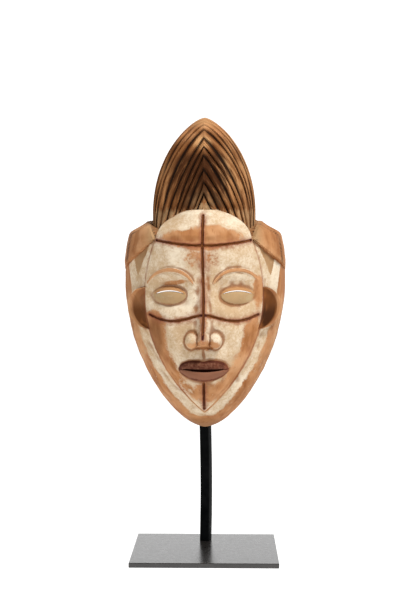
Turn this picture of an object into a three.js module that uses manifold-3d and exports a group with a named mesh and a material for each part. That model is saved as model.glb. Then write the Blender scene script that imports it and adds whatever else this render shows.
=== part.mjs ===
// A carved wooden face mask of the Punu kind, hung on a bent steel bar that stands on a steel plate.
// Millimetres, +Z up, and the mask looks towards -Y. The origin is the middle of the plate's underside.
import * as THREE from "three";
import { mergeVertices } from "three/addons/utils/BufferGeometryUtils.js";
import Module from "manifold-3d";

// The stand
const PLATE_WIDTH = 150;
const PLATE_DEPTH = 120;
const PLATE_THICKNESS = 5;
const PLATE_EDGE_BREAK = 0.5;
const BAR_WIDTH = 10;
const BAR_DEPTH = 10;
const BAR_BACK_MARGIN = 22;
const BAR_SIDE_BOW = 0.9;
const GAP = 0.3;

// The mask as a whole
const MASK_LIFT = 130.5;
const MASK_WIDTH = 169;
const MASK_HEIGHT = 321.5;
const FACE_DEPTH = 97;
const RIM_SETBACK = 40;

// The hollow behind the face
const FACE_WALL = 11;
const SIDE_WALL = 12;
const CHIN_WALL = 20;
const HOLLOW_TOP = 204;

// The face, which is laid out on thirds of its height and fifths of the head's width
const CHIN_TIP = 23;
const FACE_HEIGHT = 202;
const FACE_WIDTH = 116;
const EDGE_STEP = 3;

// The forehead's arched hairline
const ARCH_HALF_WIDTH = 47;
const ARCH_FOOT = 194;

// The crest of hair
const CREST_HALF_WIDTH = 52.3;
const CREST_SPREAD = 100;
const CREST_FRONT = 86;
const CREST_BASE = 190;
const CREST_SETBACK = 3;
const TIP_DEPTH = 34;
const FRONT_GROOVES = 14;
const BACK_GROOVES = 10;
const GROOVE_DEPTH = 1.8;

// Carved lines and raised details
const LINE_WIDTH = 2.4;
const LINE_DEPTH = 2;
const BROW_WIDTH = 3.2;
const BROW_RISE = 1.3;
const EYE_SLIT = 1.5;
const LID_BULGE = 4.5;
const LOCK_RISE = 4;
const EAR_RISE = 6;
const EAR_HALF_HEIGHT = 21;
const EAR_WIDTH = 18;
const PAD_ROOT = 8;

// Heights and widths worked out from those above, measured from the mask's lowest point
const HALF_WIDTH = MASK_WIDTH / 2;
const HAIRLINE = CHIN_TIP + FACE_HEIGHT;
const THIRD = FACE_HEIGHT / 3;
const BROW_LINE = HAIRLINE - THIRD;
const NOSE_BASE = BROW_LINE - THIRD;
const MOUTH_LINE = NOSE_BASE - THIRD / 3;
const EYE_LINE = CHIN_TIP + 1.75 * THIRD;
const FIFTH = MASK_WIDTH / 5;
const WIDEST = EYE_LINE + 9;
const EAR_LINE = EYE_LINE - 13;
const SHOULDER = HAIRLINE - 7;
const RIM_PLANE = PLATE_DEPTH / 2 - RIM_SETBACK;
const HEAD_TOP = HAIRLINE + 10;

const clamp = THREE.MathUtils.clamp;
const smooth = (t) => THREE.MathUtils.smoothstep(t, 0, 1);
const mix = THREE.MathUtils.lerp;
const bell = (t) => Math.exp(-t * t);

// 0 on the negative side of an edge and 1 on the positive side, over a band of that width
const rise = (distance, band) => smooth(0.5 + distance / band);

// The smaller of two numbers, with the corner between them rounded
const softMin = (a, b, round) => (a + b - Math.hypot(a - b, round)) / 2;

// Half the mask's width at a height: a pointed oval below, and shoulders of hair that slope up to the crest
function outline(h) {
  const below = clamp((WIDEST - h) / WIDEST, 0, 1);
  const above = clamp((h - WIDEST) / 140, 0, 1);
  const side = HALF_WIDTH * Math.max(0, 1 - below ** 1.66) ** 0.6 * (1 - above ** 3);
  return softMin(side, CREST_HALF_WIDTH + 2 + (SHOULDER - h) * 2, 3.5);
}

// How far the middle of the head stands in front of the rim's plane
function profile(h) {
  const chin = Math.max(0, 1 - clamp((WIDEST - h) / WIDEST, 0, 1) ** 2.2) ** 0.5;
  const forehead = 9 * bell((h - BROW_LINE - 34) / 29);
  const top = 6 * clamp((h - HAIRLINE + 22) / 22, 0, 2) ** 2;
  return FACE_DEPTH * chin + forehead - top;
}

// Half the face's width at a height, up to the arch of the hairline
function faceHalfWidth(h) {
  if (h <= CHIN_TIP || h >= HAIRLINE) return 0;
  if (h < EYE_LINE) return (FACE_WIDTH / 2) * (1 - ((EYE_LINE - h) / (EYE_LINE - CHIN_TIP)) ** 2.1);
  if (h < ARCH_FOOT) {
    return mix(FACE_WIDTH / 2, ARCH_HALF_WIDTH, ((h - EYE_LINE) / (ARCH_FOOT - EYE_LINE)) ** 2);
  }
  return ARCH_HALF_WIDTH * Math.sqrt(1 - ((h - ARCH_FOOT) / (HAIRLINE - ARCH_FOOT)) ** 2);
}

// Signed distance from the face's edge, positive outside it
function outsideFace(x, h) {
  if (h <= CHIN_TIP + 0.5) return Math.hypot(x, CHIN_TIP - h);
  if (h >= HAIRLINE - 0.5) return Math.hypot(x, h - HAIRLINE);
  const slope = faceHalfWidth(h + 0.25) - faceHalfWidth(h - 0.25);
  return (Math.abs(x) - faceHalfWidth(h)) / Math.hypot(1, slope * 2);
}

// Half the crest's width at some way below its tip; a groove inside it starts as a sharper wedge
const crestHalfWidth = (drop, wedge = 0.7) =>
  CREST_HALF_WIDTH * (1 - (1 - clamp(drop / CREST_SPREAD, 0, 1)) ** 2.1) ** wedge;

// The crest's depths at a height: its front keel, its widest line and its back
function crestDepths(h) {
  const high = clamp((h - 262) / (MASK_HEIGHT - 262), 0, 1);
  const front = mix(TIP_DEPTH, CREST_FRONT, Math.max(0, 1 - high ** 2.4) ** (1 / 1.6));
  const lean = clamp((h - HAIRLINE) / (MASK_HEIGHT - HAIRLINE), 0, 1) ** 1.5;
  const widest = mix(62, TIP_DEPTH, lean);
  const back = mix(CREST_SETBACK, TIP_DEPTH, clamp((h - 200) / (MASK_HEIGHT - 200), 0, 1) ** 2);
  return { front, widest, back };
}

// The crest's surface at a height and a share of its half width, on the front or the back
function crestDepth(h, share, onFront) {
  const { front, widest, back } = crestDepths(h);
  const s = clamp(Math.abs(share), 0, 1);
  if (!onFront) return mix(widest, back, (1 - s ** 3) ** (1 / 2.4));
  const keel = 2 * Math.exp(-s * 9) * (1 - s) * smooth((MASK_HEIGHT - h) / 12);
  return mix(widest, front, Math.sqrt(1 - s ** 1.8)) + keel;
}

// How far the nose stands out: a narrow bridge that widens to the tip, with a wing on each side
function noseRelief(x, h) {
  const down = clamp((BROW_LINE - 3 - h) / (BROW_LINE - 3 - NOSE_BASE), 0, 1.2);
  const across = Math.abs(x) / (4.5 + 4.5 * down);
  const bridge = (2 + 13 * down ** 1.4) * Math.exp(-(across ** 2.2));
  const tip = 3 * bell(x / 7) * bell((h - NOSE_BASE - 6) / 6);
  const wingAt = (Math.abs(x) - FIFTH / 2 + 6) / 6;
  const wings = 7.5 * bell(wingAt) * bell((h - NOSE_BASE - 6.5) / 7);
  const under = rise(h - NOSE_BASE, 3.5) * smooth((BROW_LINE + 4 - h) / 10);
  return (bridge + tip + wings) * under;
}

const MOUTH_HALF_WIDTH = FIFTH * 0.75;
const upperLipTop = (x) =>
  MOUTH_LINE + 9.5 * Math.max(0, 1 - Math.abs(x / MOUTH_HALF_WIDTH) ** 4) ** 0.6 - 1.2 * bell(x / 4);
const lowerLipFoot = (x) => MOUTH_LINE - 12 * Math.max(0, 1 - (x / MOUTH_HALF_WIDTH) ** 2) ** 0.7;

// How far the lips stand out around their parting
function lipRelief(x, h) {
  if (Math.abs(x) >= MOUTH_HALF_WIDTH) return 0;
  const upper = (h - MOUTH_LINE) / (upperLipTop(x) - MOUTH_LINE + 0.01);
  const lower = (MOUTH_LINE - h) / (MOUTH_LINE - lowerLipFoot(x) + 0.01);
  const corner = (1 - (x / MOUTH_HALF_WIDTH) ** 2) ** 0.5;
  if (h >= MOUTH_LINE) return upper < 1 ? 4.2 * Math.sqrt(1 - upper ** 4) * corner : 0;
  return lower < 1 ? 5 * Math.sqrt(1 - lower ** 3) * corner : 0;
}

// Everything carved on the face that faces forwards
function frontRelief(x, h) {
  const a = Math.abs(x);
  const eye = Math.hypot((a - FIFTH) / 24, (h - EYE_LINE - 1) / 17);
  const socket = -4.5 * (1 - smooth((eye - 0.45) / 0.75));
  const muzzle = 5 * bell(x / 30) * bell((h - MOUTH_LINE) / 24);
  const chin = 4 * bell(x / 15) * bell((h - CHIN_TIP - 16) / 11);
  const cheek = 3 * bell((a - FIFTH) / 15) * bell((h - NOSE_BASE - 12) / 20);
  const philtrum = -1.2 * bell(x / 2.5) * bell((h - NOSE_BASE + 6) / 6);
  const face = socket + muzzle + chin + cheek + philtrum + noseRelief(x, h) + lipRelief(x, h);
  const outside = outsideFace(x, h);
  return face * (1 - rise(outside + 2, 4)) + EDGE_STEP * (1 - rise(outside - 1, 2));
}

// The lower edge of the side locks, which slopes down from the arch's foot to the outline
const LOCK_INNER = [ARCH_HALF_WIDTH - 1, ARCH_FOOT + 2];
const LOCK_OUTER = [HALF_WIDTH - 2, ARCH_FOOT - 27];

// Where a lock starts at a height: on its sloping lower edge, and above that on the crest's foot
function lockEdge(h) {
  const slope = (LOCK_OUTER[0] - LOCK_INNER[0]) / (LOCK_INNER[1] - LOCK_OUTER[1]);
  const low = LOCK_INNER[0] + (LOCK_INNER[1] - h) * slope;
  return h < LOCK_INNER[1] ? low : LOCK_INNER[0] + (h - LOCK_INNER[1]) * 0.4;
}

// What is carved round the jaw, square to the wall: a valley beside the face and a rounded collar outside it
function collarRelief(x, h) {
  const outside = outsideFace(x, h);
  const jaw = smooth((WIDEST - 34 - h) / 16);
  return (2.5 * bell((outside - 15) / 6) - 1.5 * bell((outside - 6) / 4)) * jaw * smooth(h / 12);
}

// A point of the head, from its height, the angle round its upright axis and a lift square to the wall
function headPoint(angle, h, lift = 0) {
  const width = outline(h);
  const depth = profile(h);
  const x = width * Math.sin(angle);
  const out = collarRelief(x, h) + lift;
  const length = Math.hypot(depth * Math.sin(angle), width * Math.cos(angle)) || 1;
  const outX = (depth * Math.sin(angle)) / length;
  const outD = (width * Math.cos(angle)) / length;
  let d = depth * Math.cos(angle) + outD * out + frontRelief(x, h);
  const share = x / crestHalfWidth(MASK_HEIGHT - h);
  if (h > ARCH_FOOT - 4 && Math.abs(share) < 1) {
    const underCrest = rise(outsideFace(x, h) - 0.7, 1.4) * rise(lockEdge(h) - Math.abs(x), 1.6);
    d = mix(d, Math.min(d, crestDepth(h, share, true) - 4), underCrest);
  }
  return [x + outX * out, Math.max(d, 0), h];
}

// How far forward the face's surface stands at a place seen from the front
const faceSurface = (x, h) => headPoint(Math.asin(clamp(x / outline(h), -1, 1)), h)[1];

// From the mask's own [across, forward, up] to the object's frame
const place = ([x, d, h]) => [x, RIM_PLANE - d, MASK_LIFT + h];

const wasm = await Module();
wasm.setup();

// Collects the triangles of one closed surface
class Skin {
  constructor() {
    this.points = [];
  }
  triangle(a, b, c) {
    this.points.push(...a, ...b, ...c);
  }
  // A grid of points; its faces look towards the viewer who sees columns run right and rows run up
  grid(rows) {
    for (let i = 0; i + 1 < rows.length; i++) {
      for (let j = 0; j + 1 < rows[i].length; j++) {
        this.triangle(rows[i][j], rows[i][j + 1], rows[i + 1][j + 1]);
        this.triangle(rows[i][j], rows[i + 1][j + 1], rows[i + 1][j]);
      }
    }
    return this;
  }
  // Closes a ring that is run through anticlockwise as seen from outside
  cap(ring) {
    const middle = [0, 1, 2].map((k) => ring.reduce((sum, p) => sum + p[k], 0) / ring.length);
    ring.forEach((p, i) => this.triangle(middle, p, ring[(i + 1) % ring.length]));
    return this;
  }
  // Rings stacked upwards, each anticlockwise seen from above, closed at both ends
  static stack(rings) {
    const skin = new Skin().grid(rings.map((ring) => [...ring, ring[0]]));
    return skin.cap([...rings[0]].reverse()).cap(rings[rings.length - 1]);
  }
  geometry() {
    const loose = new THREE.BufferGeometry();
    loose.setAttribute("position", new THREE.Float32BufferAttribute(this.points, 3));
    return loose;
  }
  solid() {
    return solidOf(this.geometry());
  }
}

// A closed geometry as a solid that can be joined and cut
function solidOf(geometry) {
  const bare = geometry.clone();
  bare.deleteAttribute("normal");
  bare.deleteAttribute("uv");
  const merged = mergeVertices(bare, 1e-3);
  const whole = [];
  for (let i = 0; i < merged.index.count; i += 3) {
    const [a, b, c] = [0, 1, 2].map((k) => merged.index.getX(i + k));
    if (a !== b && b !== c && a !== c) whole.push(a, b, c);
  }
  return new wasm.Manifold(
    new wasm.Mesh({
      numProp: 3,
      vertProperties: new Float32Array(merged.attributes.position.array),
      triVerts: new Uint32Array(whole),
    }),
  );
}

function geometryOf(solid) {
  const mesh = solid.getMesh();
  const geometry = new THREE.BufferGeometry();
  geometry.setAttribute("position", new THREE.BufferAttribute(mesh.vertProperties, 3));
  geometry.setIndex(new THREE.BufferAttribute(mesh.triVerts, 1));
  geometry.computeVertexNormals();
  return geometry;
}

// Heights from the chin to inside the crest, close together where the face has fine carving
function rowHeights() {
  const [lipFoot, lipTop] = [lowerLipFoot(0) - 2, upperLipTop(0) + 3];
  const archRows = 9;
  const stretches = [
    [0.15, 3, 2], [3, 12, 2], [12, lipFoot, 5], [lipFoot, lipTop, 11], [lipTop, NOSE_BASE - 2, 2],
    [NOSE_BASE - 2, NOSE_BASE + 3, 3], [NOSE_BASE + 3, EYE_LINE - 14, 6], [EYE_LINE - 14, EYE_LINE + 16, 5],
    [EYE_LINE + 16, ARCH_FOOT - 6, 5],
  ];
  const heights = stretches.flatMap(([from, to, count]) =>
    Array.from({ length: count }, (_, i) => mix(from, to, i / count)));
  const arch = Array.from({ length: archRows + 1 }, (_, i) =>
    mix(ARCH_FOOT - 6, HAIRLINE - 0.3, Math.sin((Math.PI * i) / (2 * archRows))));
  return [...heights, ...arch, HAIRLINE + 1.7, HEAD_TOP];
}

const FACE_COLUMNS = 24;
const SIDE_COLUMNS = 6;

// The angles of one row, left to right: the face's columns follow its edge, then the sides run back to the rim
function rowAngles(h) {
  const width = outline(h);
  const angleAt = (x) => Math.asin(clamp(x / width, -1, 1));
  const edge = Math.min(Math.max(faceHalfWidth(h), 0.45 * width), 0.95 * width);
  const across = Array.from({ length: FACE_COLUMNS + 1 }, (_, i) =>
    angleAt(edge * ((2 * i) / FACE_COLUMNS - 1)));
  const byLock = h > LOCK_INNER[1] - 6 && lockEdge(h) > edge + 1;
  const near = byLock ? [edge + 1.5, lockEdge(h) - 0.9, lockEdge(h) + 0.9].sort((a, b) => a - b) : [edge + 2];
  const start = angleAt(Math.min(near[near.length - 1], 0.985 * width));
  const rest = SIDE_COLUMNS + 1 - near.length;
  const back = Array.from({ length: rest }, (_, i) => mix(start, Math.PI / 2, ((i + 1) / rest) ** 1.2));
  const right = [...near.map((x) => Math.min(angleAt(x), start)), ...back];
  return [...right.map((a) => -a).reverse(), ...across, ...right];
}

// The head with its face, before it is hollowed
function headSolid() {
  return Skin.stack(rowHeights().map((h) => rowAngles(h).map((angle) => place(headPoint(angle, h))))).solid();
}

const CREST_COLUMNS = 7;
const NARROWING = 0.0058;
const FRONT_STEPS = [0, 0.6, 0.8];
const BACK_STEPS = [0, 0.8];

// A line of points down the crest: turn 0 is the crest's outline and turn 1 the last groove inside it
function crestLine(turn, cut, sign, onFront) {
  const height = MASK_HEIGHT - CREST_BASE;
  const follows = Math.cos(turn * Math.acos(1 - height * NARROWING));
  const start = Math.min((1 - follows) / NARROWING, height);
  const wedge = mix(0.7, 1, smooth((1 - follows) / 0.2));
  return Array.from({ length: CREST_COLUMNS + 1 }, (_, j) => {
    const drop = (height - start) * (j / CREST_COLUMNS) ** 1.45;
    const h = MASK_HEIGHT - start - drop;
    const x = follows * crestHalfWidth(drop, wedge);
    const width = Math.max(crestHalfWidth(MASK_HEIGHT - h), 0.1);
    const share = clamp(x / width, 0.04, 0.98);
    const slope = (crestDepth(h, share + 0.02, onFront) - crestDepth(h, share - 0.02, onFront)) / (0.04 * width);
    const inward = new THREE.Vector2(-Math.abs(slope), onFront ? -1 : 1).setLength(cut * smooth(drop / 6));
    return place([sign * Math.max(x + inward.x, 0), crestDepth(h, x / width, onFront) + inward.y, h]);
  });
}

// The crest: rows of points run along its braids, so that each groove is a crease of the surface
function crestSolid() {
  const linesOf = (grooves, steps, sign, onFront) => {
    const turns = Array.from({ length: grooves }, (_, k) =>
      steps.map((step, i) => [(k + step) / grooves, i === steps.length - 1]));
    return [...turns.flat(), [1, false]].map(([turn, grooved]) =>
      crestLine(turn, grooved ? GROOVE_DEPTH : 0, sign, onFront));
  };
  const skin = new Skin();
  for (const sign of [-1, 1]) {
    const front = linesOf(FRONT_GROOVES, FRONT_STEPS, sign, true);
    const back = linesOf(BACK_GROOVES, BACK_STEPS, sign, false);
    const flip = (rows, turned) => (turned ? rows.map((row) => [...row].reverse()) : rows);
    skin.grid(flip(front, sign > 0)).grid(flip(back, sign < 0));
    const foot = [...front, ...back.reverse()].map((row) => row[CREST_COLUMNS]);
    skin.cap(sign > 0 ? foot : foot.reverse());
  }
  return skin.solid();
}

const HOLLOW_ROWS = 14;
const HOLLOW_COLUMNS = 14;

// One level of the hollow: its height, half its width at the rim and its depth in the middle
function hollowLevel(i) {
  const h = mix(CHIN_WALL, HOLLOW_TOP, (1 - Math.cos((Math.PI * i) / HOLLOW_ROWS)) / 2);
  const low = clamp((WIDEST - h) / (WIDEST - CHIN_WALL), 0, 1);
  const high = clamp((h - WIDEST) / (HOLLOW_TOP - WIDEST), 0, 1);
  const width = (HALF_WIDTH - SIDE_WALL) * Math.max(0, 1 - low ** 1.66) ** 0.6 * Math.max(0, 1 - high ** 2.6) ** 0.5;
  const closing = Math.max(0, 1 - high ** 3) ** 0.5 * Math.max(0, 1 - low ** 4) ** 0.6;
  return { h, width, depth: (profile(h) - FACE_WALL) * closing };
}

// The inside of the mask, open at the back
function hollowSolid() {
  const rings = Array.from({ length: HOLLOW_ROWS + 1 }, (_, i) => {
    const { h, width, depth } = hollowLevel(i);
    const inside = Array.from({ length: HOLLOW_COLUMNS + 1 }, (_, j) => {
      const angle = mix(-Math.PI / 2, Math.PI / 2, j / HOLLOW_COLUMNS);
      return [width * Math.sin(angle), depth * Math.cos(angle), h];
    });
    return [...inside, [width, -5, h], [-width, -5, h]].map(place);
  });
  return Skin.stack(rings).solid();
}

// The height at which the hollow's ceiling comes down to a given depth in front of the rim's plane
function ceilingAt(depth) {
  let i = HOLLOW_ROWS;
  while (hollowLevel(i - 1).depth < depth) i--;
  const [below, above] = [hollowLevel(i - 1), hollowLevel(i)];
  return mix(below.h, above.h, (below.depth - depth) / (below.depth - above.depth));
}

// A shape drawn as seen from the front, as a slab between two distances in front of the rim's plane
function frontSlab(shape, from, to) {
  const slab = new THREE.ExtrudeGeometry(shape, { depth: to - from, bevelEnabled: false });
  slab.rotateX(Math.PI / 2).translate(0, RIM_PLANE - from, MASK_LIFT);
  return solidOf(slab);
}

// A closed outline that runs along a curve and back, with a width for each of its points
function ribbonShape(centre, halfThickness, from, to, steps) {
  const xs = Array.from({ length: steps + 1 }, (_, i) => mix(from, to, i / steps));
  const upper = xs.map((x) => new THREE.Vector2(x, centre(x) + halfThickness(x)));
  const lower = xs.slice(1, -1).map((x) => new THREE.Vector2(x, centre(x) - halfThickness(x)));
  return new THREE.Shape([...lower, ...upper.reverse()]);
}

const LID_HALF_WIDTH = FIFTH * 0.44;
const slitHeight = (x) => EYE_LINE + 1.5 + 3 * (1 - ((Math.abs(x) - FIFTH) / LID_HALF_WIDTH) ** 2);

// The slit under one upper lid, cut right through the wall
function eyeSlit(sign) {
  const thin = (x) =>
    (EYE_SLIT / 2) * Math.sqrt(Math.max(0.01, 1 - ((Math.abs(x) - FIFTH) / LID_HALF_WIDTH) ** 2));
  const reach = LID_HALF_WIDTH * 0.98;
  const shape = ribbonShape(slitHeight, thin, sign * FIFTH - reach, sign * FIFTH + reach, 8);
  return frontSlab(shape, FACE_DEPTH / 3, FACE_DEPTH * 1.4);
}

// The parting of the lips, a blind cut
function mouthParting() {
  const reach = MOUTH_HALF_WIDTH * 0.85;
  const open = (x) => 1.5 * Math.max(0.01, 1 - (x / reach) ** 2) ** 0.7;
  const shape = ribbonShape((x) => MOUTH_LINE - 0.4 * Math.cos(x / 8), open, -reach, reach, 10);
  return frontSlab(shape, faceSurface(0, MOUTH_LINE) - 8, FACE_DEPTH * 1.4);
}

// A lid's bulge, as an ellipsoid sunk into the face and turned to lie along it
function lidBulge(sign) {
  const lid = new THREE.SphereGeometry(1, 14, 8);
  const run = (faceSurface(sign * FIFTH - 8, EYE_LINE) - faceSurface(sign * FIFTH + 8, EYE_LINE)) / 16;
  lid.scale((LID_HALF_WIDTH + 2) * Math.hypot(1, run), LID_BULGE + 3, FIFTH * 0.27).rotateZ(Math.atan(run));
  lid.translate(...place([sign * FIFTH, faceSurface(sign * FIFTH, EYE_LINE) - 3, EYE_LINE]));
  return solidOf(lid);
}

// A strip that follows the face along a path of [x, h] points; each section is [across, out] pairs
function strip(path, section) {
  const rings = path.map(([x, h], i) => {
    const before = path[Math.max(i - 1, 0)];
    const after = path[Math.min(i + 1, path.length - 1)];
    const along = new THREE.Vector2(after[0] - before[0], after[1] - before[1]).normalize();
    return section(i / (path.length - 1)).map(([across, out]) => {
      const [px, ph] = [x - along.y * across, h + along.x * across];
      return place([px, faceSurface(px, ph) + out, ph]);
    });
  });
  const skin = new Skin().grid(rings.map((ring) => [...ring, ring[0]]));
  return skin.cap([...rings[0]].reverse()).cap(rings[rings.length - 1]).solid();
}

// A raised brow: an arc over the eye that thins towards its ends
function brow(sign) {
  const path = Array.from({ length: 11 }, (_, i) => {
    const angle = mix(160, 20, i / 10) * THREE.MathUtils.DEG2RAD;
    return [sign * FIFTH + 25 * Math.cos(angle), EYE_LINE + 3 + 22 * Math.sin(angle)];
  });
  return strip(path, (t) => {
    const half = (BROW_WIDTH / 2) * Math.max(0.15, Math.sin(Math.PI * t)) ** 0.7;
    return [[-half, -2], [half, -2], [half * 0.8, BROW_RISE], [-half * 0.8, BROW_RISE]];
  });
}

// A knife-cut line with a V section
const incision = (path) =>
  strip(path, () => [[0, -LINE_DEPTH], [LINE_WIDTH, LINE_DEPTH], [-LINE_WIDTH, LINE_DEPTH]]);

const LINE_BREAK = 2;

// The lines cut down the middle of the face, across the forehead and under each eye
function incisedLines() {
  const steps = 12;
  const run = (point) => Array.from({ length: steps + 1 }, (_, i) => point(i / steps));
  const down = run((t) => [0, mix(HAIRLINE - 7, NOSE_BASE + 9, t)]);
  const chin = run((t) => [0, mix(lowerLipFoot(0) - LINE_BREAK, CHIN_TIP + 3, t)]);
  const across = run((t) => {
    const x = mix(-ARCH_HALF_WIDTH + 1, ARCH_HALF_WIDTH - 1, t);
    return [x, ARCH_FOOT - 5 + 6 * (x / ARCH_HALF_WIDTH) ** 2];
  });
  const under = [-1, 1].map((sign) =>
    run((t) => [
      sign * mix(LINE_BREAK, FACE_WIDTH / 2 - 4, sign > 0 ? t : 1 - t),
      EYE_LINE - 19 - 6 * Math.sin(Math.PI * (sign > 0 ? t : 1 - t) ** 1.2),
    ]));
  return [down, chin, across, ...under].map(incision);
}

// A raised pad on a side wall, row by row upwards; each row runs back round the wall between two widths
function sidePad(sign, rows, row) {
  const columns = 4;
  const rings = Array.from({ length: rows + 1 }, (_, i) => {
    const { h, from, to, lift } = row(i / rows);
    const [start, end] = [from, to].map((x) => Math.asin(clamp(x / outline(h), 0, 1)));
    const outer = Array.from({ length: columns + 1 }, (_, j) =>
      headPoint(mix(start, end, j / columns), h, lift(j / columns)));
    const ring = [...outer, headPoint(end, h, -PAD_ROOT), headPoint(start, h, -PAD_ROOT)];
    return (sign > 0 ? ring : ring.map(([x, d, z]) => [-x, d, z]).reverse()).map(place);
  });
  return Skin.stack(rings).solid();
}

// A lock of hair beside the forehead, from its sloping lower edge up to the shoulder
const lock = (sign) =>
  sidePad(sign, 12, (t) => {
    const h = mix(LOCK_OUTER[1], SHOULDER, t);
    const from = lockEdge(h) + 1.5;
    const full = LOCK_RISE * clamp((HALF_WIDTH - from) / 12, 0.1, 1);
    return { h, from, to: HALF_WIDTH, lift: (u) => full * (1 - 0.85 * smooth(u)) };
  });

// An ear: a half-moon against the face's edge, dished towards the face and raised along its outer edge
const ear = (sign) =>
  sidePad(sign, 10, (t) => {
    const h = EAR_LINE + (t * 2 - 1) * EAR_HALF_HEIGHT;
    const from = faceHalfWidth(h) - 1;
    const reach = (EAR_WIDTH + 1) * Math.sqrt(Math.max(0, 1 - (t * 2 - 1) ** 2));
    return { h, from, to: from + reach, lift: (u) => mix(-1, EAR_RISE, u ** 1.6) * Math.min(1, reach / 8) };
  });

// The mask, carved from one block of wood
function maskSolid() {
  const pairs = [lidBulge, brow, lock, ear].flatMap((piece) => [piece(-1), piece(1)]);
  const whole = [crestSolid(), ...pairs].reduce((sum, piece) => sum.add(piece), headSolid());
  const cuts = [hollowSolid(), mouthParting(), eyeSlit(-1), eyeSlit(1), ...incisedLines()];
  const carved = cuts.reduce((sum, cut) => sum.subtract(cut), whole);
  return carved.decompose().sort((a, b) => b.volume() - a.volume())[0];
}

// The bar's middle line: up from the plate, leaning forwards past the chin and into the hollow
function barMiddle(z) {
  const foot = PLATE_DEPTH / 2 - BAR_BACK_MARGIN - BAR_DEPTH / 2;
  const rest = RIM_PLANE + GAP + BAR_DEPTH / 2;
  const chin = MASK_LIFT;
  const entry = MASK_LIFT + CHIN_WALL + 1.2 * BAR_WIDTH;
  const lean = smooth((z - PLATE_THICKNESS) / (chin - PLATE_THICKNESS));
  const inside = Math.max(0, z - entry);
  const bow = BAR_SIDE_BOW * Math.sin((Math.PI * z) / chin) * smooth((entry - z) / 30);
  return [bow, mix(foot, rest, lean) - 0.3 * inside + 3 * (1 - Math.exp(-inside / 10))];
}

// The bar's top comes to just under the ceiling of the hollow, where the mask's weight hangs on it
function barTop() {
  let h = HOLLOW_TOP;
  for (let i = 0; i < 20; i++) {
    const front = RIM_PLANE - barMiddle(MASK_LIFT + h)[1] + BAR_DEPTH / 2;
    h = ceilingAt(front + 2) - GAP;
  }
  return MASK_LIFT + h;
}

// The square bar, with its ends cut level
function barSolid() {
  const steps = 18;
  const top = barTop();
  const rings = Array.from({ length: steps + 1 }, (_, i) => {
    const z = mix(PLATE_THICKNESS + GAP, top, i / steps);
    const [x, y] = barMiddle(z);
    const [w, d] = [BAR_WIDTH / 2, BAR_DEPTH / 2];
    return [[x - w, y - d, z], [x + w, y - d, z], [x + w, y + d, z], [x - w, y + d, z]];
  });
  return Skin.stack(rings).geometry();
}

// The plate, with its long edges lightly broken
function plateGeometry() {
  const [w, d, e] = [PLATE_WIDTH / 2, PLATE_DEPTH / 2, PLATE_EDGE_BREAK];
  const corners = [[-w, -d], [w, -d], [w, d], [-w, d]];
  const inset = corners.map(([x, y]) => new THREE.Vector2(x - Math.sign(x) * e, y - Math.sign(y) * e));
  const plate = new THREE.ExtrudeGeometry(new THREE.Shape(inset), {
    depth: PLATE_THICKNESS - 2 * e,
    bevelThickness: e,
    bevelSize: e,
    bevelSegments: 1,
  });
  return plate.translate(0, 0, e);
}

function named(name, geometry, material) {
  const mesh = new THREE.Mesh(geometry, material);
  mesh.name = name;
  return mesh;
}

const wood = new THREE.MeshStandardMaterial({ color: 0xb98a5e, roughness: 0.75, metalness: 0 });
const blackSteel = new THREE.MeshStandardMaterial({ color: 0x1a1a1b, roughness: 0.4, metalness: 0.6 });

const part = new THREE.Group();
part.add(named("mask", geometryOf(maskSolid()), wood));
part.add(named("stand_bar", barSolid(), blackSteel));
part.add(named("base_plate", plateGeometry(), blackSteel));

export default part;
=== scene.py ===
"""Visual model of a hollow carved wooden face mask on a black steel stand.

The mask's forms are worked out in millimetres in its own measure: x across, d forwards from the plane of its
rim, and h upwards from the lowest point of the chin. The finished meshes are in metres in the object's frame.
"""

from __future__ import annotations

import logging
import math
from collections.abc import Callable
from dataclasses import dataclass
from enum import Enum

import bpy
import numpy as np
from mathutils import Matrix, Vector

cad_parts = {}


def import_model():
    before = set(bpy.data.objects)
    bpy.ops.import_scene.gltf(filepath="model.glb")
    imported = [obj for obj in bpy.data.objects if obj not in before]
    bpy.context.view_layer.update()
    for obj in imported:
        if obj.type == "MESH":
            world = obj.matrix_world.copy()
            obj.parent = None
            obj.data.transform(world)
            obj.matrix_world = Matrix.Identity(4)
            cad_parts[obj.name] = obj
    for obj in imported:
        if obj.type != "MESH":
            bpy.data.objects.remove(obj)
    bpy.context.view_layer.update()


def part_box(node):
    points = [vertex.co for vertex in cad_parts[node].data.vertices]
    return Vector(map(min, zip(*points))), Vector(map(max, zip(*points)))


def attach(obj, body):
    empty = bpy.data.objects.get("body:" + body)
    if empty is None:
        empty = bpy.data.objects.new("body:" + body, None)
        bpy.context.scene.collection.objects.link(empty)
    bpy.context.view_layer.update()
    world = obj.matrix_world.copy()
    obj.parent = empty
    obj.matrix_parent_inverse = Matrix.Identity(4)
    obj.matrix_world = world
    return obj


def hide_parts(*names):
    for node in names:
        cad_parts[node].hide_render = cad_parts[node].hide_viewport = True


LOG = logging.getLogger("mask")
MM = 0.001

Array = np.ndarray
Values = np.ndarray | float
Colour = tuple[float, float, float, float]
Object = bpy.types.Object
Socket = bpy.types.NodeSocket


class Side(Enum):
    """A side of the object, as seen from in front."""

    LEFT = -1
    RIGHT = 1


class CrestFace(Enum):
    """One of the two faces of the crest."""

    FRONT = "front"
    BACK = "back"


class Zone(Enum):
    """The painted and stained areas, each a mesh attribute that the wood's finish reads."""

    WHITE = "white"
    HAIR = "hair"
    LIP = "lip"
    STAIN = "stain"
    LID = "lid"
    GROOVE = "groove"
    LIGHT = "light"
    INSIDE = "inside"
    TURN = "strand_turn"
    ALONG = "strand_along"
    EDGE = "edge"
    CREVICE = "crevice"
    UPPER = "upper"


def unit(value: Values) -> Array:
    """Hold a value between 0 and 1."""
    return np.clip(value, 0.0, 1.0)


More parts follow.
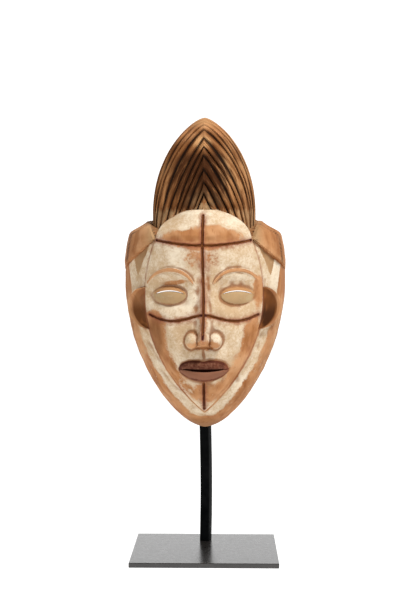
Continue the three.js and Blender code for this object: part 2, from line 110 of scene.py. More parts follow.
def smooth(value: Values) -> Array:
    """Ease from 0 to 1 with level ends."""
    t = unit(value)
    return t * t * (3.0 - 2.0 * t)


def rise(distance: Values, band: float) -> Array:
    """Turn a signed distance into 0 on its negative side and 1 on its positive side."""
    return smooth(0.5 + distance / band)


def bell(value: Values) -> Array:
    """Give a bell curve that is 1 in the middle."""
    return np.exp(-value * value)


def mix(a: Values, b: Values, t: Values) -> Array:
    """Blend from one value to another."""
    return a + (b - a) * t


def soft_min(a: Values, b: Values, rounding: float) -> Array:
    """Give the smaller of two values, with the corner between them rounded."""
    return (a + b - np.hypot(a - b, rounding)) / 2.0


def from_stretch(beside: Array, along: Array, start: Values, end: Values) -> Array:
    """Give the distance from a stretch of a line, from the distance beside it and the place along it."""
    return np.hypot(beside, np.maximum(np.maximum(start - along, along - end), 0.0))


def srgb(red: int, green: int, blue: int) -> Colour:
    """Turn a colour of 0 to 255 as seen on a screen into the linear colour that shaders take.

    Args:
        red: Red, from 0 to 255.
        green: Green.
        blue: Blue.

    Returns:
        The colour, fully opaque.
    """
    levels = [value / 255.0 for value in (red, green, blue)]
    linear = [v / 12.92 if v <= 0.04045 else ((v + 0.055) / 1.055) ** 2.4 for v in levels]
    return (linear[0], linear[1], linear[2], 1.0)


@dataclass(frozen=True)
class Ripples:
    """Smooth unevenness made of sine waves in seeded directions."""

    seed: int
    wavelength: float
    waves: int = 16

    def at(self, points: Array) -> Array:
        """Give the unevenness, of about unit size, at points.

        Args:
            points: One row of coordinates per point, in millimetres.

        Returns:
            One value per point.
        """
        random = np.random.default_rng(self.seed)
        directions = random.normal(size=(self.waves, 3))
        directions /= np.linalg.norm(directions, axis=1, keepdims=True)
        lengths = self.wavelength * random.uniform(0.6, 1.7, self.waves)
        phases = random.uniform(0.0, 2.0 * math.pi, self.waves)
        turns = points @ (directions / lengths[:, None]).T * 2.0 * math.pi + phases
        return np.sin(turns).sum(axis=1) / math.sqrt(self.waves / 2.0)


@dataclass(frozen=True)
class MaskSizes:
    """The mask's measures in millimetres: those of the solid it stands for, and of the finer carving."""

    lift: float = 130.5
    width: float = 169.0
    head_width: float = 166.0
    height: float = 321.5
    face_depth: float = 97.0
    forehead_bulge: float = 9.0
    top_setback: float = 6.0
    unevenness: float = 0.35
    rim_plane: float = 20.0
    face_wall: float = 11.0
    side_wall: float = 12.0
    chin_wall: float = 20.0
    hollow_top: float = 204.0
    chin_tip: float = 23.0
    face_height: float = 202.0
    face_width: float = 116.0
    edge_step: float = 3.0
    arch_half_width: float = 47.0
    arch_foot: float = 194.0
    crest_half_width: float = 52.3
    crest_spread: float = 100.0
    left_spread: float = 150.0
    crest_front: float = 86.0
    crest_base: float = 190.0
    crest_setback: float = 3.0
    crest_lean_start: float = 262.0
    crest_back_start: float = 200.0
    crest_side_depth: float = 62.0
    crest_keel: float = 2.0
    crest_trim: float = 0.978
    tip_depth: float = 34.0
    narrowing: float = 0.0058
    front_grooves: int = 14
    back_grooves: int = 10
    groove_depth: float = 2.4
    line_width: float = 3.0
    line_depth: float = 2.4
    brow_width: float = 3.4
    brow_rise: float = 1.5
    socket_depth: float = 4.5
    eye_slit: float = 1.1
    lid_bulge: float = 4.5
    lid_crown: float = 0.4
    upper_lid_step: float = 0.7
    bridge_rise: float = 12.0
    nose_tip: float = 18.0
    nose_wing: float = 11.5
    nostril_depth: float = 1.6
    philtrum_depth: float = 1.2
    upper_lip_height: float = 9.5
    upper_lip_rise: float = 4.6
    lower_lip_height: float = 12.0
    lower_lip_rise: float = 5.6
    mouth_opening: float = 3.0
    muzzle_rise: float = 5.0
    chin_rise: float = 4.0
    cheek_rise: float = 3.0
    collar_rise: float = 2.5
    valley_depth: float = 1.5
    lock_rise: float = 4.0
    ear_rise: float = 6.0
    ear_half_height: float = 21.0
    ear_width: float = 17.0
    pad_root: float = 8.0

    @property
    def half_width(self) -> float:
        """Half the mask's width."""
        return self.width / 2.0

    @property
    def hairline(self) -> float:
        """The height of the top of the forehead."""
        return self.chin_tip + self.face_height

    @property
    def third(self) -> float:
        """A third of the face's height, which sets out brows, nose and chin."""
        return self.face_height / 3.0

    @property
    def brow_line(self) -> float:
        """The height of the brow bone."""
        return self.hairline - self.third

    @property
    def nose_base(self) -> float:
        """The height of the underside of the nose."""
        return self.brow_line - self.third

    @property
    def mouth_line(self) -> float:
        """The height of the parting of the lips."""
        return self.nose_base - self.third / 3.0

    @property
    def eye_line(self) -> float:
        """The height of the eyes."""
        return self.chin_tip + 1.75 * self.third

    @property
    def fifth(self) -> float:
        """A fifth of the head's width, which sets out eyes and mouth."""
        return self.head_width / 5.0

    @property
    def widest(self) -> float:
        """The height at which the head is widest."""
        return self.eye_line + 9.0

    @property
    def ear_line(self) -> float:
        """The height of the middle of the ears."""
        return self.eye_line - 13.0

    @property
    def shoulder(self) -> float:
        """The height at which the hair's shoulders meet the crest."""
        return self.hairline - 7.0

    @property
    def head_top(self) -> float:
        """The height of the head's top inside the crest."""
        return self.hairline + 10.0

    @property
    def mouth_half_width(self) -> float:
        """Half the width of the mouth."""
        return self.fifth * 0.75

    @property
    def lid_half_width(self) -> float:
        """Half the width of an eye's slit."""
        return self.fifth * 0.44

    @property
    def lock_inner(self) -> tuple[float, float]:
        """Across and up, the inner end of a side lock's lower edge."""
        return (self.arch_half_width - 1.0, self.arch_foot + 2.0)

    @property
    def lock_outer(self) -> tuple[float, float]:
        """Across and up, the outer end of a side lock's lower edge."""
        return (self.half_width - 2.0, self.arch_foot - 27.0)

    @property
    def lock_slope(self) -> float:
        """How far a side lock's lower edge runs across for each millimetre down."""
        inner, outer = self.lock_inner, self.lock_outer
        return (outer[0] - inner[0]) / (inner[1] - outer[1])


class MaskForm:
    """The mask's surfaces as functions of place."""

    def __init__(self, sizes: MaskSizes) -> None:
        """Keep the sizes."""
        self.sizes = sizes

    def grooves(self, face: CrestFace) -> int:
        """Give how many grooves a half of a crest face has."""
        return self.sizes.front_grooves if face is CrestFace.FRONT else self.sizes.back_grooves

    def groove_shift(self, turn: Array, along: Array, side: Array, count: int) -> Array:
        """Give how far a groove strays from even spacing, as cut by eye.

        Args:
            turn: Evenly spaced turns.
            along: Shares of the way down.
            side: -1 left and 1 right of the ridge.
            count: How many grooves there are.

        Returns:
            What is added to the turn.
        """
        both = 0.6 * np.sin(turn * count * 2.1 + 1.0)
        own = np.sin(turn * count * 2.9 + 2.0 * side + 3.0 * along) * smooth(along * 5.0)
        return (both + 0.7 * own) * 0.17 / count * smooth(turn * count) * smooth((1.0 - turn) * count)

    def outline(self, h: Array) -> Array:
        """Half the mask's width at a height.

        Args:
            h: Heights.

        Returns:
            Half widths.
        """
        s = self.sizes
        below = unit((s.widest - h) / s.widest)
        above = unit((h - s.widest) / 140.0)
        side = s.half_width * (1.0 - below**1.66) ** 0.6 * (1.0 - above**3)
        return soft_min(side, s.crest_half_width + 2.0 + (s.shoulder - h) * 2.0, 3.5)

    def profile(self, h: Array) -> Array:
        """How far the middle of the head stands in front of the rim's plane.

        Args:
            h: Heights.

        Returns:
            Distances in front of the rim's plane.
        """
        s = self.sizes
        chin = np.sqrt(1.0 - unit((s.widest - h) / s.widest) ** 2.2)
        forehead = s.forehead_bulge * bell((h - s.brow_line - 34.0) / 29.0)
        top = s.top_setback * np.clip((h - s.hairline + 22.0) / 22.0, 0.0, 2.0) ** 2
        return s.face_depth * chin + forehead - top

    def face_half_width(self, h: Array) -> Array:
        """Half the face's width at a height, up to the arch of the hairline.

        Args:
            h: Heights.

        Returns:
            Half widths.
        """
        s = self.sizes
        half = s.face_width / 2.0
        low = unit((s.eye_line - h) / (s.eye_line - s.chin_tip))
        middle = unit((h - s.eye_line) / (s.arch_foot - s.eye_line))
        high = unit((h - s.arch_foot) / (s.hairline - s.arch_foot))
        below = half * (1.0 - low**2.1)
        arch = s.arch_half_width * np.sqrt(1.0 - high**2)
        upper = np.where(h < s.arch_foot, mix(half, s.arch_half_width, middle**2), arch)
        return np.where(h < s.eye_line, below, upper)

    def outside_face(self, x: Array, h: Array) -> Array:
        """Signed distance from the face's edge, positive outside it.

        Args:
            x: Distances across.
            h: Heights.

        Returns:
            Distances.
        """
        s = self.sizes
        slope = self.face_half_width(h + 0.25) - self.face_half_width(h - 0.25)
        beside = (np.abs(x) - self.face_half_width(h)) / np.hypot(1.0, slope * 2.0)
        above = np.hypot(x, h - s.hairline)
        down = s.chin_tip - h
        lean = 2.1 * s.face_width / 2.0 / (s.eye_line - s.chin_tip)
        along_jaw = (np.abs(x) + lean * down) / math.hypot(1.0, lean)
        under = np.where(np.abs(x) * lean < down, np.hypot(x, down), along_jaw)
        return np.where(h <= s.chin_tip + 0.5, under, np.where(h >= s.hairline - 0.5, above, beside))

    def crest_half_width(
        self, drop: Array, inner: Values = 0.0, side: Values = 1.0
    ) -> Array:
        """Give half the crest's width, or the reach of a groove inside it.

        Args:
            drop: Distances below the tip, or below the groove's start on the ridge.
            inner: 0 for the outline, rising to 1 for grooves well inside it, which start as sharper wedges.
            side: -1 left, where the grooves run steeper, and 1 right.

        Returns:
            Distances from the ridge.
        """
        s = self.sizes
        spread = mix(s.crest_spread, np.where(np.asarray(side) < 0.0, s.left_spread, s.crest_spread), inner)
        t = unit(drop / spread)
        return s.crest_half_width * (1.0 - (1.0 - t) ** 2.1) ** mix(0.7, 1.0, inner)

    def crest_depth(self, h: Array, share: Array, face: CrestFace) -> Array:
        """The crest's surface at a height and a share of its half width.

        Args:
            h: Heights.
            share: Distances from the middle as shares of the half width.
            face: The face of the crest that is meant.

        Returns:
            Distances in front of the rim's plane.
        """
        s = self.sizes
        high = unit((h - s.crest_lean_start) / (s.height - s.crest_lean_start))
        front = mix(s.tip_depth, s.crest_front, np.maximum(1.0 - high**2.4, 0.0) ** (1.0 / 1.6))
        lean = unit((h - s.hairline) / (s.height - s.hairline)) ** 1.5
        widest = mix(s.crest_side_depth, s.tip_depth, lean)
        lower = unit((h - s.crest_back_start) / (s.height - s.crest_back_start))
        back = mix(s.crest_setback, s.tip_depth, lower**2)
        a = unit(np.abs(share))
        if face is CrestFace.BACK:
            return mix(widest, back, (1.0 - a**3) ** (1.0 / 2.4))
        keel = s.crest_keel * np.exp(-9.0 * a) * (1.0 - a) * smooth((s.height - h) / 12.0)
        return mix(widest, front, np.sqrt(1.0 - a**1.8)) + keel

    def groove_path(
        self, turn: Array, along: Array, side: Values
    ) -> tuple[Array, Array]:
        """Give the line of one groove, from the ridge down to the crest's base.

        Args:
            turn: 0 for the crest's outline and 1 for the last groove inside it, at each point.
            along: Shares of the way down.
            side: -1 left and 1 right of the ridge.

        Returns:
            Distances from the ridge and heights.
        """
        s = self.sizes
        height = s.height - s.crest_base
        follows = np.cos(turn * math.acos(1.0 - height * s.narrowing))
        start = np.minimum((1.0 - follows) / s.narrowing, height)
        drop = (height - start) * along
        inner = smooth((1.0 - follows) / 0.2)
        return follows * self.crest_half_width(drop, inner, side), s.height - start - drop

    def strand_place(self, x: Array, h: Array, face: CrestFace) -> tuple[Array, Array]:
        """Find which strand of the crest each place lies on, and how far down it.

        Args:
            x: Distances across.
            h: Heights.
            face: The face of the crest that is meant.

        Returns:
            The strand's number, with its share up to the next groove, and the share of the way down.
        """
        s = self.sizes
        last = math.acos(1.0 - (s.height - s.crest_base) * s.narrowing)
        low = np.zeros_like(x)
        high = np.ones_like(x)
        for _ in range(22):
            turn = (low + high) / 2.0
            follows = np.cos(turn * last)
            drop = s.height - h - (1.0 - follows) / s.narrowing
            reach = follows * self.crest_half_width(drop, smooth((1.0 - follows) / 0.2), np.sign(x))
            inside = np.abs(x) < reach
            low = np.where(inside, turn, low)
            high = np.where(inside, high, turn)
        begin = (1.0 - np.cos(low * last)) / s.narrowing
        along = unit((s.height - begin - h) / np.maximum(s.height - s.crest_base - begin, 0.1))
        turn = low
        for _ in range(6):
            turn = low - self.groove_shift(turn, along, np.sign(x), self.grooves(face))
        return turn * self.grooves(face), along

    def nose(self, x: Array, h: Array) -> Array:
        """How far the nose stands out: a narrow bridge that widens to the tip, with a wing on each side.

        Args:
            x: Distances across.
            h: Heights.

        Returns:
            Rises.
        """
        s = self.sizes
        down = np.clip((s.brow_line - 3.0 - h) / (s.brow_line - 3.0 - s.nose_base), 0.0, 1.2)
        across = np.abs(x) / (4.0 + 2.6 * down)
        bridge = (2.0 + s.bridge_rise * down**1.4) * np.exp(-(across**2.4))
        up = h - s.nose_base
        tip = s.nose_tip * np.sqrt(unit(1.0 - (x / 6.8) ** 2 - ((up - 7.5) / 8.5) ** 2))
        side = (np.abs(x) - s.fifth / 2.0 + 5.0) / 7.0
        wings = s.nose_wing * np.sqrt(unit(1.0 - side**2 - ((up - 6.5) / 8.5) ** 2))
        under = rise(up - 1.0 + 0.02 * x**2, 2.2) * smooth((s.brow_line + 4.0 - h) / 10.0)
        nostrils = -s.nostril_depth * bell((np.abs(x) - 6.0) / 2.6) * bell((up + 0.4) / 1.6)
        return np.maximum(np.maximum(bridge, tip), wings) * under + nostrils

    def lip_edges(self, x: Array) -> tuple[Array, Array]:
        """The heights of the upper lip's top and the lower lip's foot.

        Args:
            x: Distances across.

        Returns:
            The two heights at each place.
        """
        s = self.sizes
        t = unit(np.abs(x / s.mouth_half_width))
        top = s.mouth_line + s.upper_lip_height * (1.0 - t**4) ** 0.6 - 1.2 * bell(x / 4.0)
        foot = s.mouth_line - s.lower_lip_height * (1.0 - t**2) ** 0.7
        return top, foot

    def lips(self, x: Array, h: Array) -> Array:
        """How far the lips stand out around their parting.

        Args:
            x: Distances across.
            h: Heights.

        Returns:
            Rises.
        """
        s = self.sizes
        top, foot = self.lip_edges(x)
        corner = np.sqrt(unit(1.0 - (x / s.mouth_half_width) ** 2))
        upper = unit((h - s.mouth_line) / (top - s.mouth_line + 0.01))
        lower = unit((s.mouth_line - h) / (s.mouth_line - foot + 0.01))
        share = np.where(h >= s.mouth_line, upper, lower)
        full = np.where(h >= s.mouth_line, s.upper_lip_rise, s.lower_lip_rise)
        shape = full * (1.0 - np.abs((share - 0.4) / 0.6) ** 2.5)
        return np.where(np.abs(x) < s.mouth_half_width, shape * corner, 0.0)

    def lid_place(self, x: Array, h: Array) -> Array:
        """Distance from an eyelid's middle, 1 at its edge."""
        s = self.sizes
        return np.hypot((np.abs(x) - s.fifth) / (s.lid_half_width + 2.0), (h - s.eye_line) / (s.fifth * 0.27))

    def slit_height(self, x: Array) -> Array:
        """The height of the slit under the upper lid."""
        s = self.sizes
        return s.eye_line + 1.5 + 3.0 * (1.0 - ((np.abs(x) - s.fifth) / s.lid_half_width) ** 2)

    def brow_place(self, x: Array, h: Array) -> Array:
        """How far each place lies inside a brow's edge, in millimetres, negative outside it.

        Args:
            x: Distances across.
            h: Heights.

        Returns:
            Distances.
        """
        s = self.sizes
        across = np.abs(x) - s.fifth
        up = h - s.eye_line - 3.0
        off = (np.hypot(across / 25.0, up / 22.0) - 1.0) * 23.0
        angle = np.degrees(np.arctan2(up / 22.0, across / 25.0))
        end = unit((angle - 20.0) / 140.0)
        half = s.brow_width / 2.0 * np.maximum(np.sin(math.pi * end), 0.0) ** 0.7
        return np.where(end * (1.0 - end) > 0.0, half - np.abs(off), -5.0)

    def line_distance(self, x: Array, h: Array) -> Array:
        """Distance from the nearest line cut on the face.

        Args:
            x: Distances across.
            h: Heights.

        Returns:
            Distances.
        """
        s = self.sizes
        a = np.abs(x)
        _, foot = self.lip_edges(np.zeros(1))
        wander = 0.5 * np.sin(h / 17.0) - 0.4
        down = from_stretch(x - wander, h, s.nose_base + 9.0, s.hairline - 7.0)
        chin = from_stretch(x, h, s.chin_tip + 3.0, foot - 2.0)
        level = s.arch_foot - 5.0 + 6.0 * (x / s.arch_half_width) ** 2
        across = from_stretch(h - level, a, 0.0, s.arch_half_width - 1.0)
        t = unit((a - 2.0) / (s.face_width / 2.0 - 6.0))
        dip = s.eye_line - 19.0 - 6.0 * np.sin(math.pi * t**1.2)
        under = from_stretch(h - dip, a, 2.0, s.face_width / 2.0 - 4.0)
        return np.minimum.reduce([down, chin, across, under])

    def front_relief(self, x: Array, h: Array) -> Array:
        """Everything carved on the face that faces forwards.

        Args:
            x: Distances across.
            h: Heights.

        Returns:
            Rises above the head's plain form.
        """
        s = self.sizes
        a = np.abs(x)
        eye = np.hypot((a - s.fifth) / 24.0, (h - s.eye_line - 1.0) / 17.0)
        socket = -s.socket_depth * (1.0 - smooth((eye - 0.45) / 0.75))
        lid_edge = unit(1.0 - self.lid_place(x, h) ** 2)
        upper = s.upper_lid_step * rise(h - self.slit_height(x), 0.8) * rise(lid_edge - 0.08, 0.1)
        lid = (s.lid_bulge + s.lid_crown) * lid_edge**0.6 + upper
        muzzle = s.muzzle_rise * bell(x / 30.0) * bell((h - s.mouth_line) / 24.0)
        chin = s.chin_rise * bell(x / 15.0) * bell((h - s.chin_tip - 16.0) / 11.0)
        cheek = s.cheek_rise * bell((a - s.fifth) / 15.0) * bell((h - s.nose_base - 12.0) / 20.0)
        philtrum = -s.philtrum_depth * bell(x / 2.5) * bell((h - s.nose_base + 6.0) / 6.0)
        brow = s.brow_rise * rise(self.brow_place(x, h), 1.2)
        face = socket + lid + muzzle + chin + cheek + philtrum + brow + self.nose(x, h) + self.lips(x, h)
        outside = self.outside_face(x, h)
        cut = s.line_depth * unit(1.0 - self.line_distance(x, h) / (s.line_width / 2.0))
        plate = s.edge_step * (1.0 - rise(outside - 1.0, 2.0))
        return face * (1.0 - rise(outside + 2.0, 4.0)) + plate - cut * (1.0 - rise(outside, 2.0))

    def lock_edge(self, h: Array) -> Array:
        """Where a side lock starts at a height: on its sloping edge, and above that on the crest's foot.

        Args:
            h: Heights.

        Returns:
            Distances from the middle.
        """
        inner = self.sizes.lock_inner
        up = h - inner[1]
        return inner[0] + np.where(up < 0.0, -up * self.sizes.lock_slope, up * 0.4)

    def collar(self, x: Array, h: Array) -> Array:
        """What is carved round the jaw, square to the wall: a valley and a rounded collar outside it.

        Args:
            x: Distances across.
            h: Heights.

        Returns:
            Rises.
        """
        s = self.sizes
        outside = self.outside_face(x, h)
        jaw = smooth((s.widest - 34.0 - h) / 16.0)
        ridge, valley = bell((outside - 15.0) / 6.0), bell((outside - 6.0) / 4.0)
        return (s.collar_rise * ridge - s.valley_depth * valley) * jaw * smooth(h / 12.0)

    def head_point(self, angle: Array, h: Array, lift: Values = 0.0) -> Array:
        """Give points of the head's outer surface.

        Args:
            angle: Angles round the head's upright axis, 0 in front.
            h: Heights.
            lift: Distances to raise the surface, square to the wall.

        Returns:
            One row of x, d and h per point.
        """
        s = self.sizes
        angle, h = np.broadcast_arrays(angle, h)
        width = self.outline(h)
        depth = self.profile(h)
        x = width * np.sin(angle)
        flat = np.stack([x, depth * np.cos(angle), h], axis=-1).reshape(-1, 3)
        worn = (Ripples(3, 34.0).at(flat) + 0.6 * Ripples(4, 11.0).at(flat)).reshape(h.shape)
        worn = s.unevenness * worn - 0.3
        out = self.collar(x, h) + lift + worn * np.cos(angle) ** 0.5 * smooth(h / 8.0)
        length = np.maximum(np.hypot(depth * np.sin(angle), width * np.cos(angle)), 1e-6)
        out_x = depth * np.sin(angle) / length
        out_d = width * np.cos(angle) / length
        d = depth * np.cos(angle) + out_d * out + self.front_relief(x, h)
        share = x / np.maximum(self.crest_half_width(s.height - h), 1e-3)
        under = rise(self.outside_face(x, h) - 0.7, 1.4) * rise(self.lock_edge(h) - np.abs(x), 1.6)
        low_edge = s.lock_inner[1] - (np.abs(x) - s.lock_inner[0]) / s.lock_slope
        under = under * rise(h - low_edge - 0.8, 1.6) * (h > s.arch_foot - 4.0) * (np.abs(share) < 1.0)
        d = mix(d, np.minimum(d, self.crest_depth(h, share, CrestFace.FRONT) - 4.0), under)
        return np.stack([x + out_x * out, np.maximum(d, 0.0), h], axis=-1)

    def hollow_level(self, t: Array) -> tuple[Array, Array, Array]:
        """Give the hollow's height, half width at the rim and depth in the middle, from bottom to top.

        Args:
            t: Shares of the hollow's height.

        Returns:
            Heights, half widths and depths.
        """
        s = self.sizes
        h = mix(s.chin_wall, s.hollow_top, (1.0 - np.cos(math.pi * t)) / 2.0)
        low = unit((s.widest - h) / (s.widest - s.chin_wall))
        high = unit((h - s.widest) / (s.hollow_top - s.widest))
        width = (s.half_width - s.side_wall) * (1.0 - low**1.66) ** 0.6 * (1.0 - high**2.6) ** 0.5
        closing = (1.0 - high**3) ** 0.5 * (1.0 - low**4) ** 0.6
        return h, width, (self.profile(h) - s.face_wall) * closing

    def place(self, points: Array) -> Array:
        """Take points from the mask's measure to metres in the object's frame.

        Args:
            points: Points in the mask's measure.

        Returns:
            Points in the object's frame.
        """
        s = self.sizes
        x, d, h = points[..., 0], points[..., 1], points[..., 2]
        return np.stack([x, s.rim_plane - d, s.lift + h], axis=-1) * MM

    def measure(self, places: Array) -> Array:
        """Take points in metres in the object's frame back to the mask's measure.

        Args:
            places: Points in the object's frame.

        Returns:
            Points in the mask's measure.
        """
        s = self.sizes
        x, y, z = places[:, 0] / MM, places[:, 1] / MM, places[:, 2] / MM
        return np.stack([x, s.rim_plane - y, z - s.lift], axis=-1)


class Skin:
    """Gathers the triangles of one closed surface, in millimetres in the mask's measure."""

    def __init__(self) -> None:
        """Start with no triangles."""
        self.triangles: list[Array] = []

    def grid(self, rows: Array, turned: bool = False) -> Skin:
        """Add a grid of points.

        Args:
            rows: Points by row, column and coordinate.
            turned: Whether the faces look the other way.

        Returns:
            This skin.
        """
        a, b = rows[:-1, :-1], rows[:-1, 1:]
        c, d = rows[1:, 1:], rows[1:, :-1]
        halves = [(a, b, c), (a, c, d)] if not turned else [(a, c, b), (a, d, c)]
        for corners in halves:
            self.triangles.append(np.stack(corners, axis=-2).reshape(-1, 3, 3))
        return self

    def cap(self, ring: Array, turned: bool = False) -> Skin:
        """Close a ring with a fan of triangles.

        Args:
            ring: The ring's points.
            turned: Whether the faces look the other way.

        Returns:
            This skin.
        """
        middle = np.broadcast_to(ring.mean(axis=0), ring.shape)
        following = np.roll(ring, -1, axis=0)
        corners = (middle, following, ring) if turned else (middle, ring, following)
        self.triangles.append(np.stack(corners, axis=1))
        return self

    @staticmethod
    def stack(rings: Array) -> Skin:
        """Join rings that are stacked in order into one closed surface."""
        closed = np.concatenate([rings, rings[:, :1]], axis=1)
        return Skin().grid(closed).cap(rings[0], turned=True).cap(rings[-1])

    def solid(self, name: str, place: Callable[[Array], Array]) -> Object:
        """Weld the triangles into an object.

        Args:
            name: The object's name.
            place: Takes points to metres in the object's frame.

        Returns:
            The object, linked to the scene.
        """
        corners = np.concatenate(self.triangles).reshape(-1, 3)
        _, first, index = np.unique(np.round(corners, 3), axis=0, return_index=True, return_inverse=True)
        faces = index.reshape(-1, 3)
        whole = (faces[:, 0] != faces[:, 1]) & (faces[:, 1] != faces[:, 2]) & (faces[:, 0] != faces[:, 2])
        return object_from(name, place(corners[first]), faces[whole])


def linked(name: str, data: bpy.types.ID) -> Object:
    """Make an object of some data and put it in the scene.

    Args:
        name: The name of what is made.
        data: The mesh, camera or light.

    Returns:
        The object.
    """
    made = bpy.data.objects.new(name, data)
    bpy.context.scene.collection.objects.link(made)
    return made


def object_from(name: str, points: Array, faces: Array) -> Object:
    """Make an object from points in metres and faces of equal size.

    Args:
        name: The object's name.
        points: One row of coordinates per vertex.
        faces: One row of vertex numbers per face.

    Returns:
        The object, linked to the scene.
    """
    mesh = bpy.data.meshes.new(name)
    mesh.vertices.add(len(points))
    mesh.vertices.foreach_set("co", points.astype(np.float32).ravel())
    mesh.loops.add(faces.size)
    mesh.loops.foreach_set("vertex_index", faces.astype(np.int32).ravel())
    mesh.polygons.add(len(faces))
    mesh.polygons.foreach_set("loop_start", np.arange(0, faces.size, faces.shape[1], dtype=np.int32))
    mesh.update(calc_edges=True)
    return linked(name, mesh)


def applied(source: Object, name: str) -> Object:
    """Turn an object with its modifiers into a plain mesh object.

    Args:
        source: The object, which is removed.
        name: The new object's name.

    Returns:
        The new object, linked to the scene.
    """
    graph = bpy.context.evaluated_depsgraph_get()
    mesh = bpy.data.meshes.new_from_object(source.evaluated_get(graph))
    mesh.name = name
    bpy.data.objects.remove(source)
    return linked(name, mesh)


def shaded(made: Object, sharp: float) -> Object:
    """Shade an object smooth, and leave bends of more than so many degrees sharp.

    Args:
        made: The object.
        sharp: The bend in degrees.

    Returns:
        The same object.
    """
    made.data.shade_smooth()
    made.data.set_sharp_from_angle(angle=math.radians(sharp))
    return made


def rows_of(items: bpy.types.bpy_prop_collection, name: str) -> Array:
    """Read a vector of every item, one row each.

    Args:
        items: A mesh's vertices or normals.
        name: The vector's name.

    Returns:
        One row per item.
    """
    values = np.empty(len(items) * 3, dtype=np.float32)
    items.foreach_get(name, values)
    return values.reshape(-1, 3)


@dataclass(frozen=True)
class Patch:
    """A soft oval area of the mask's front, in millimetres."""

    x: float
    h: float
    across: float
    up: float
    amount: float
    tilt: float = 0.0

    def at(self, x: Array, h: Array) -> Array:
        """Give the patch's strength at places."""
        dx, dh = x - self.x, h - self.h - self.tilt * (x - self.x)
        return self.amount * smooth(1.5 - np.hypot(dx / self.across, dh / self.up))


def total(patches: tuple[Patch, ...], x: Array, h: Array) -> Array:
    """Add up the strengths of patches at places."""
    return sum(patch.at(x, h) for patch in patches)


@dataclass(frozen=True)
class WearPattern:
    """Where white, hair and wood are rubbed, darker or lighter, as on the old mask, with painted highlights
    among the crest's lighter patches, in millimetres.
    """

    wedge_drop: float = 36.0
    wedge_tip: float = 66.5
    wedge_inner: float = 52.0
    wedge_outer: float = 73.5
    temple_outer: float = 77.0
    dark_crest: tuple[Patch, ...] = (
        Patch(-1.0, 303.0, 12.0, 4.0, 0.45),
        Patch(15.0, 294.0, 15.0, 6.0, 0.66, -0.5),
    )
    # Lighter crest patches, partly rubbed and partly painted highlight.
    worn_and_highlit_crest: tuple[Patch, ...] = (
        Patch(-2.0, 291.0, 8.0, 6.0, 1.3),
        Patch(0.0, 318.0, 16.0, 8.0, 0.8),
        Patch(34.0, 268.0, 16.0, 38.0, 0.55),
        Patch(-40.0, 262.0, 8.0, 30.0, 0.25),
    )
    stained: tuple[Patch, ...] = (
        Patch(-48.0, 98.0, 9.0, 24.0, 0.38, -0.2),
        Patch(-18.0, 196.0, 22.0, 4.0, 0.3),
        Patch(20.0, 196.0, 20.0, 4.0, 0.22),
        Patch(0.0, 8.0, 26.0, 8.0, 0.32),
    )
    rubbed: tuple[Patch, ...] = (
        Patch(-14.0, 195.5, 24.0, 7.5, 1.0, -0.14),
        Patch(15.0, 196.0, 23.0, 7.5, 0.95, 0.14),
        Patch(-3.0, 203.0, 15.0, 6.0, 0.6, 0.2),
        Patch(14.0, 206.0, 8.0, 4.0, 0.4),
        Patch(-29.0, 153.5, 17.0, 2.6, 0.7, 0.08),
        Patch(30.0, 152.0, 13.0, 2.0, 0.35, 0.04),
        Patch(53.0, 145.0, 5.0, 17.0, 0.8),
        Patch(-51.0, 117.0, 9.0, 8.0, 0.7),
        Patch(-47.0, 96.0, 11.0, 26.0, 1.0, -0.2),
        Patch(-36.0, 68.0, 10.0, 16.0, 0.9, -0.3),
        Patch(48.0, 96.0, 11.0, 26.0, 0.85, 0.2),
        Patch(36.0, 68.0, 11.0, 18.0, 0.85, 0.3),
        Patch(5.0, 44.0, 22.0, 11.0, 0.75),
        Patch(-22.0, 55.0, 9.0, 10.0, 0.5),
        Patch(24.0, 57.0, 9.0, 12.0, 0.6),
        Patch(0.0, 92.0, 19.0, 5.0, 0.6),
        Patch(-20.0, 118.0, 6.0, 2.0, 0.3),
        Patch(0.0, 122.0, 7.0, 30.0, 0.3),
        Patch(-10.0, 176.0, 9.0, 12.0, 0.5),
        Patch(9.0, 176.0, 8.0, 12.0, 0.5),
    )


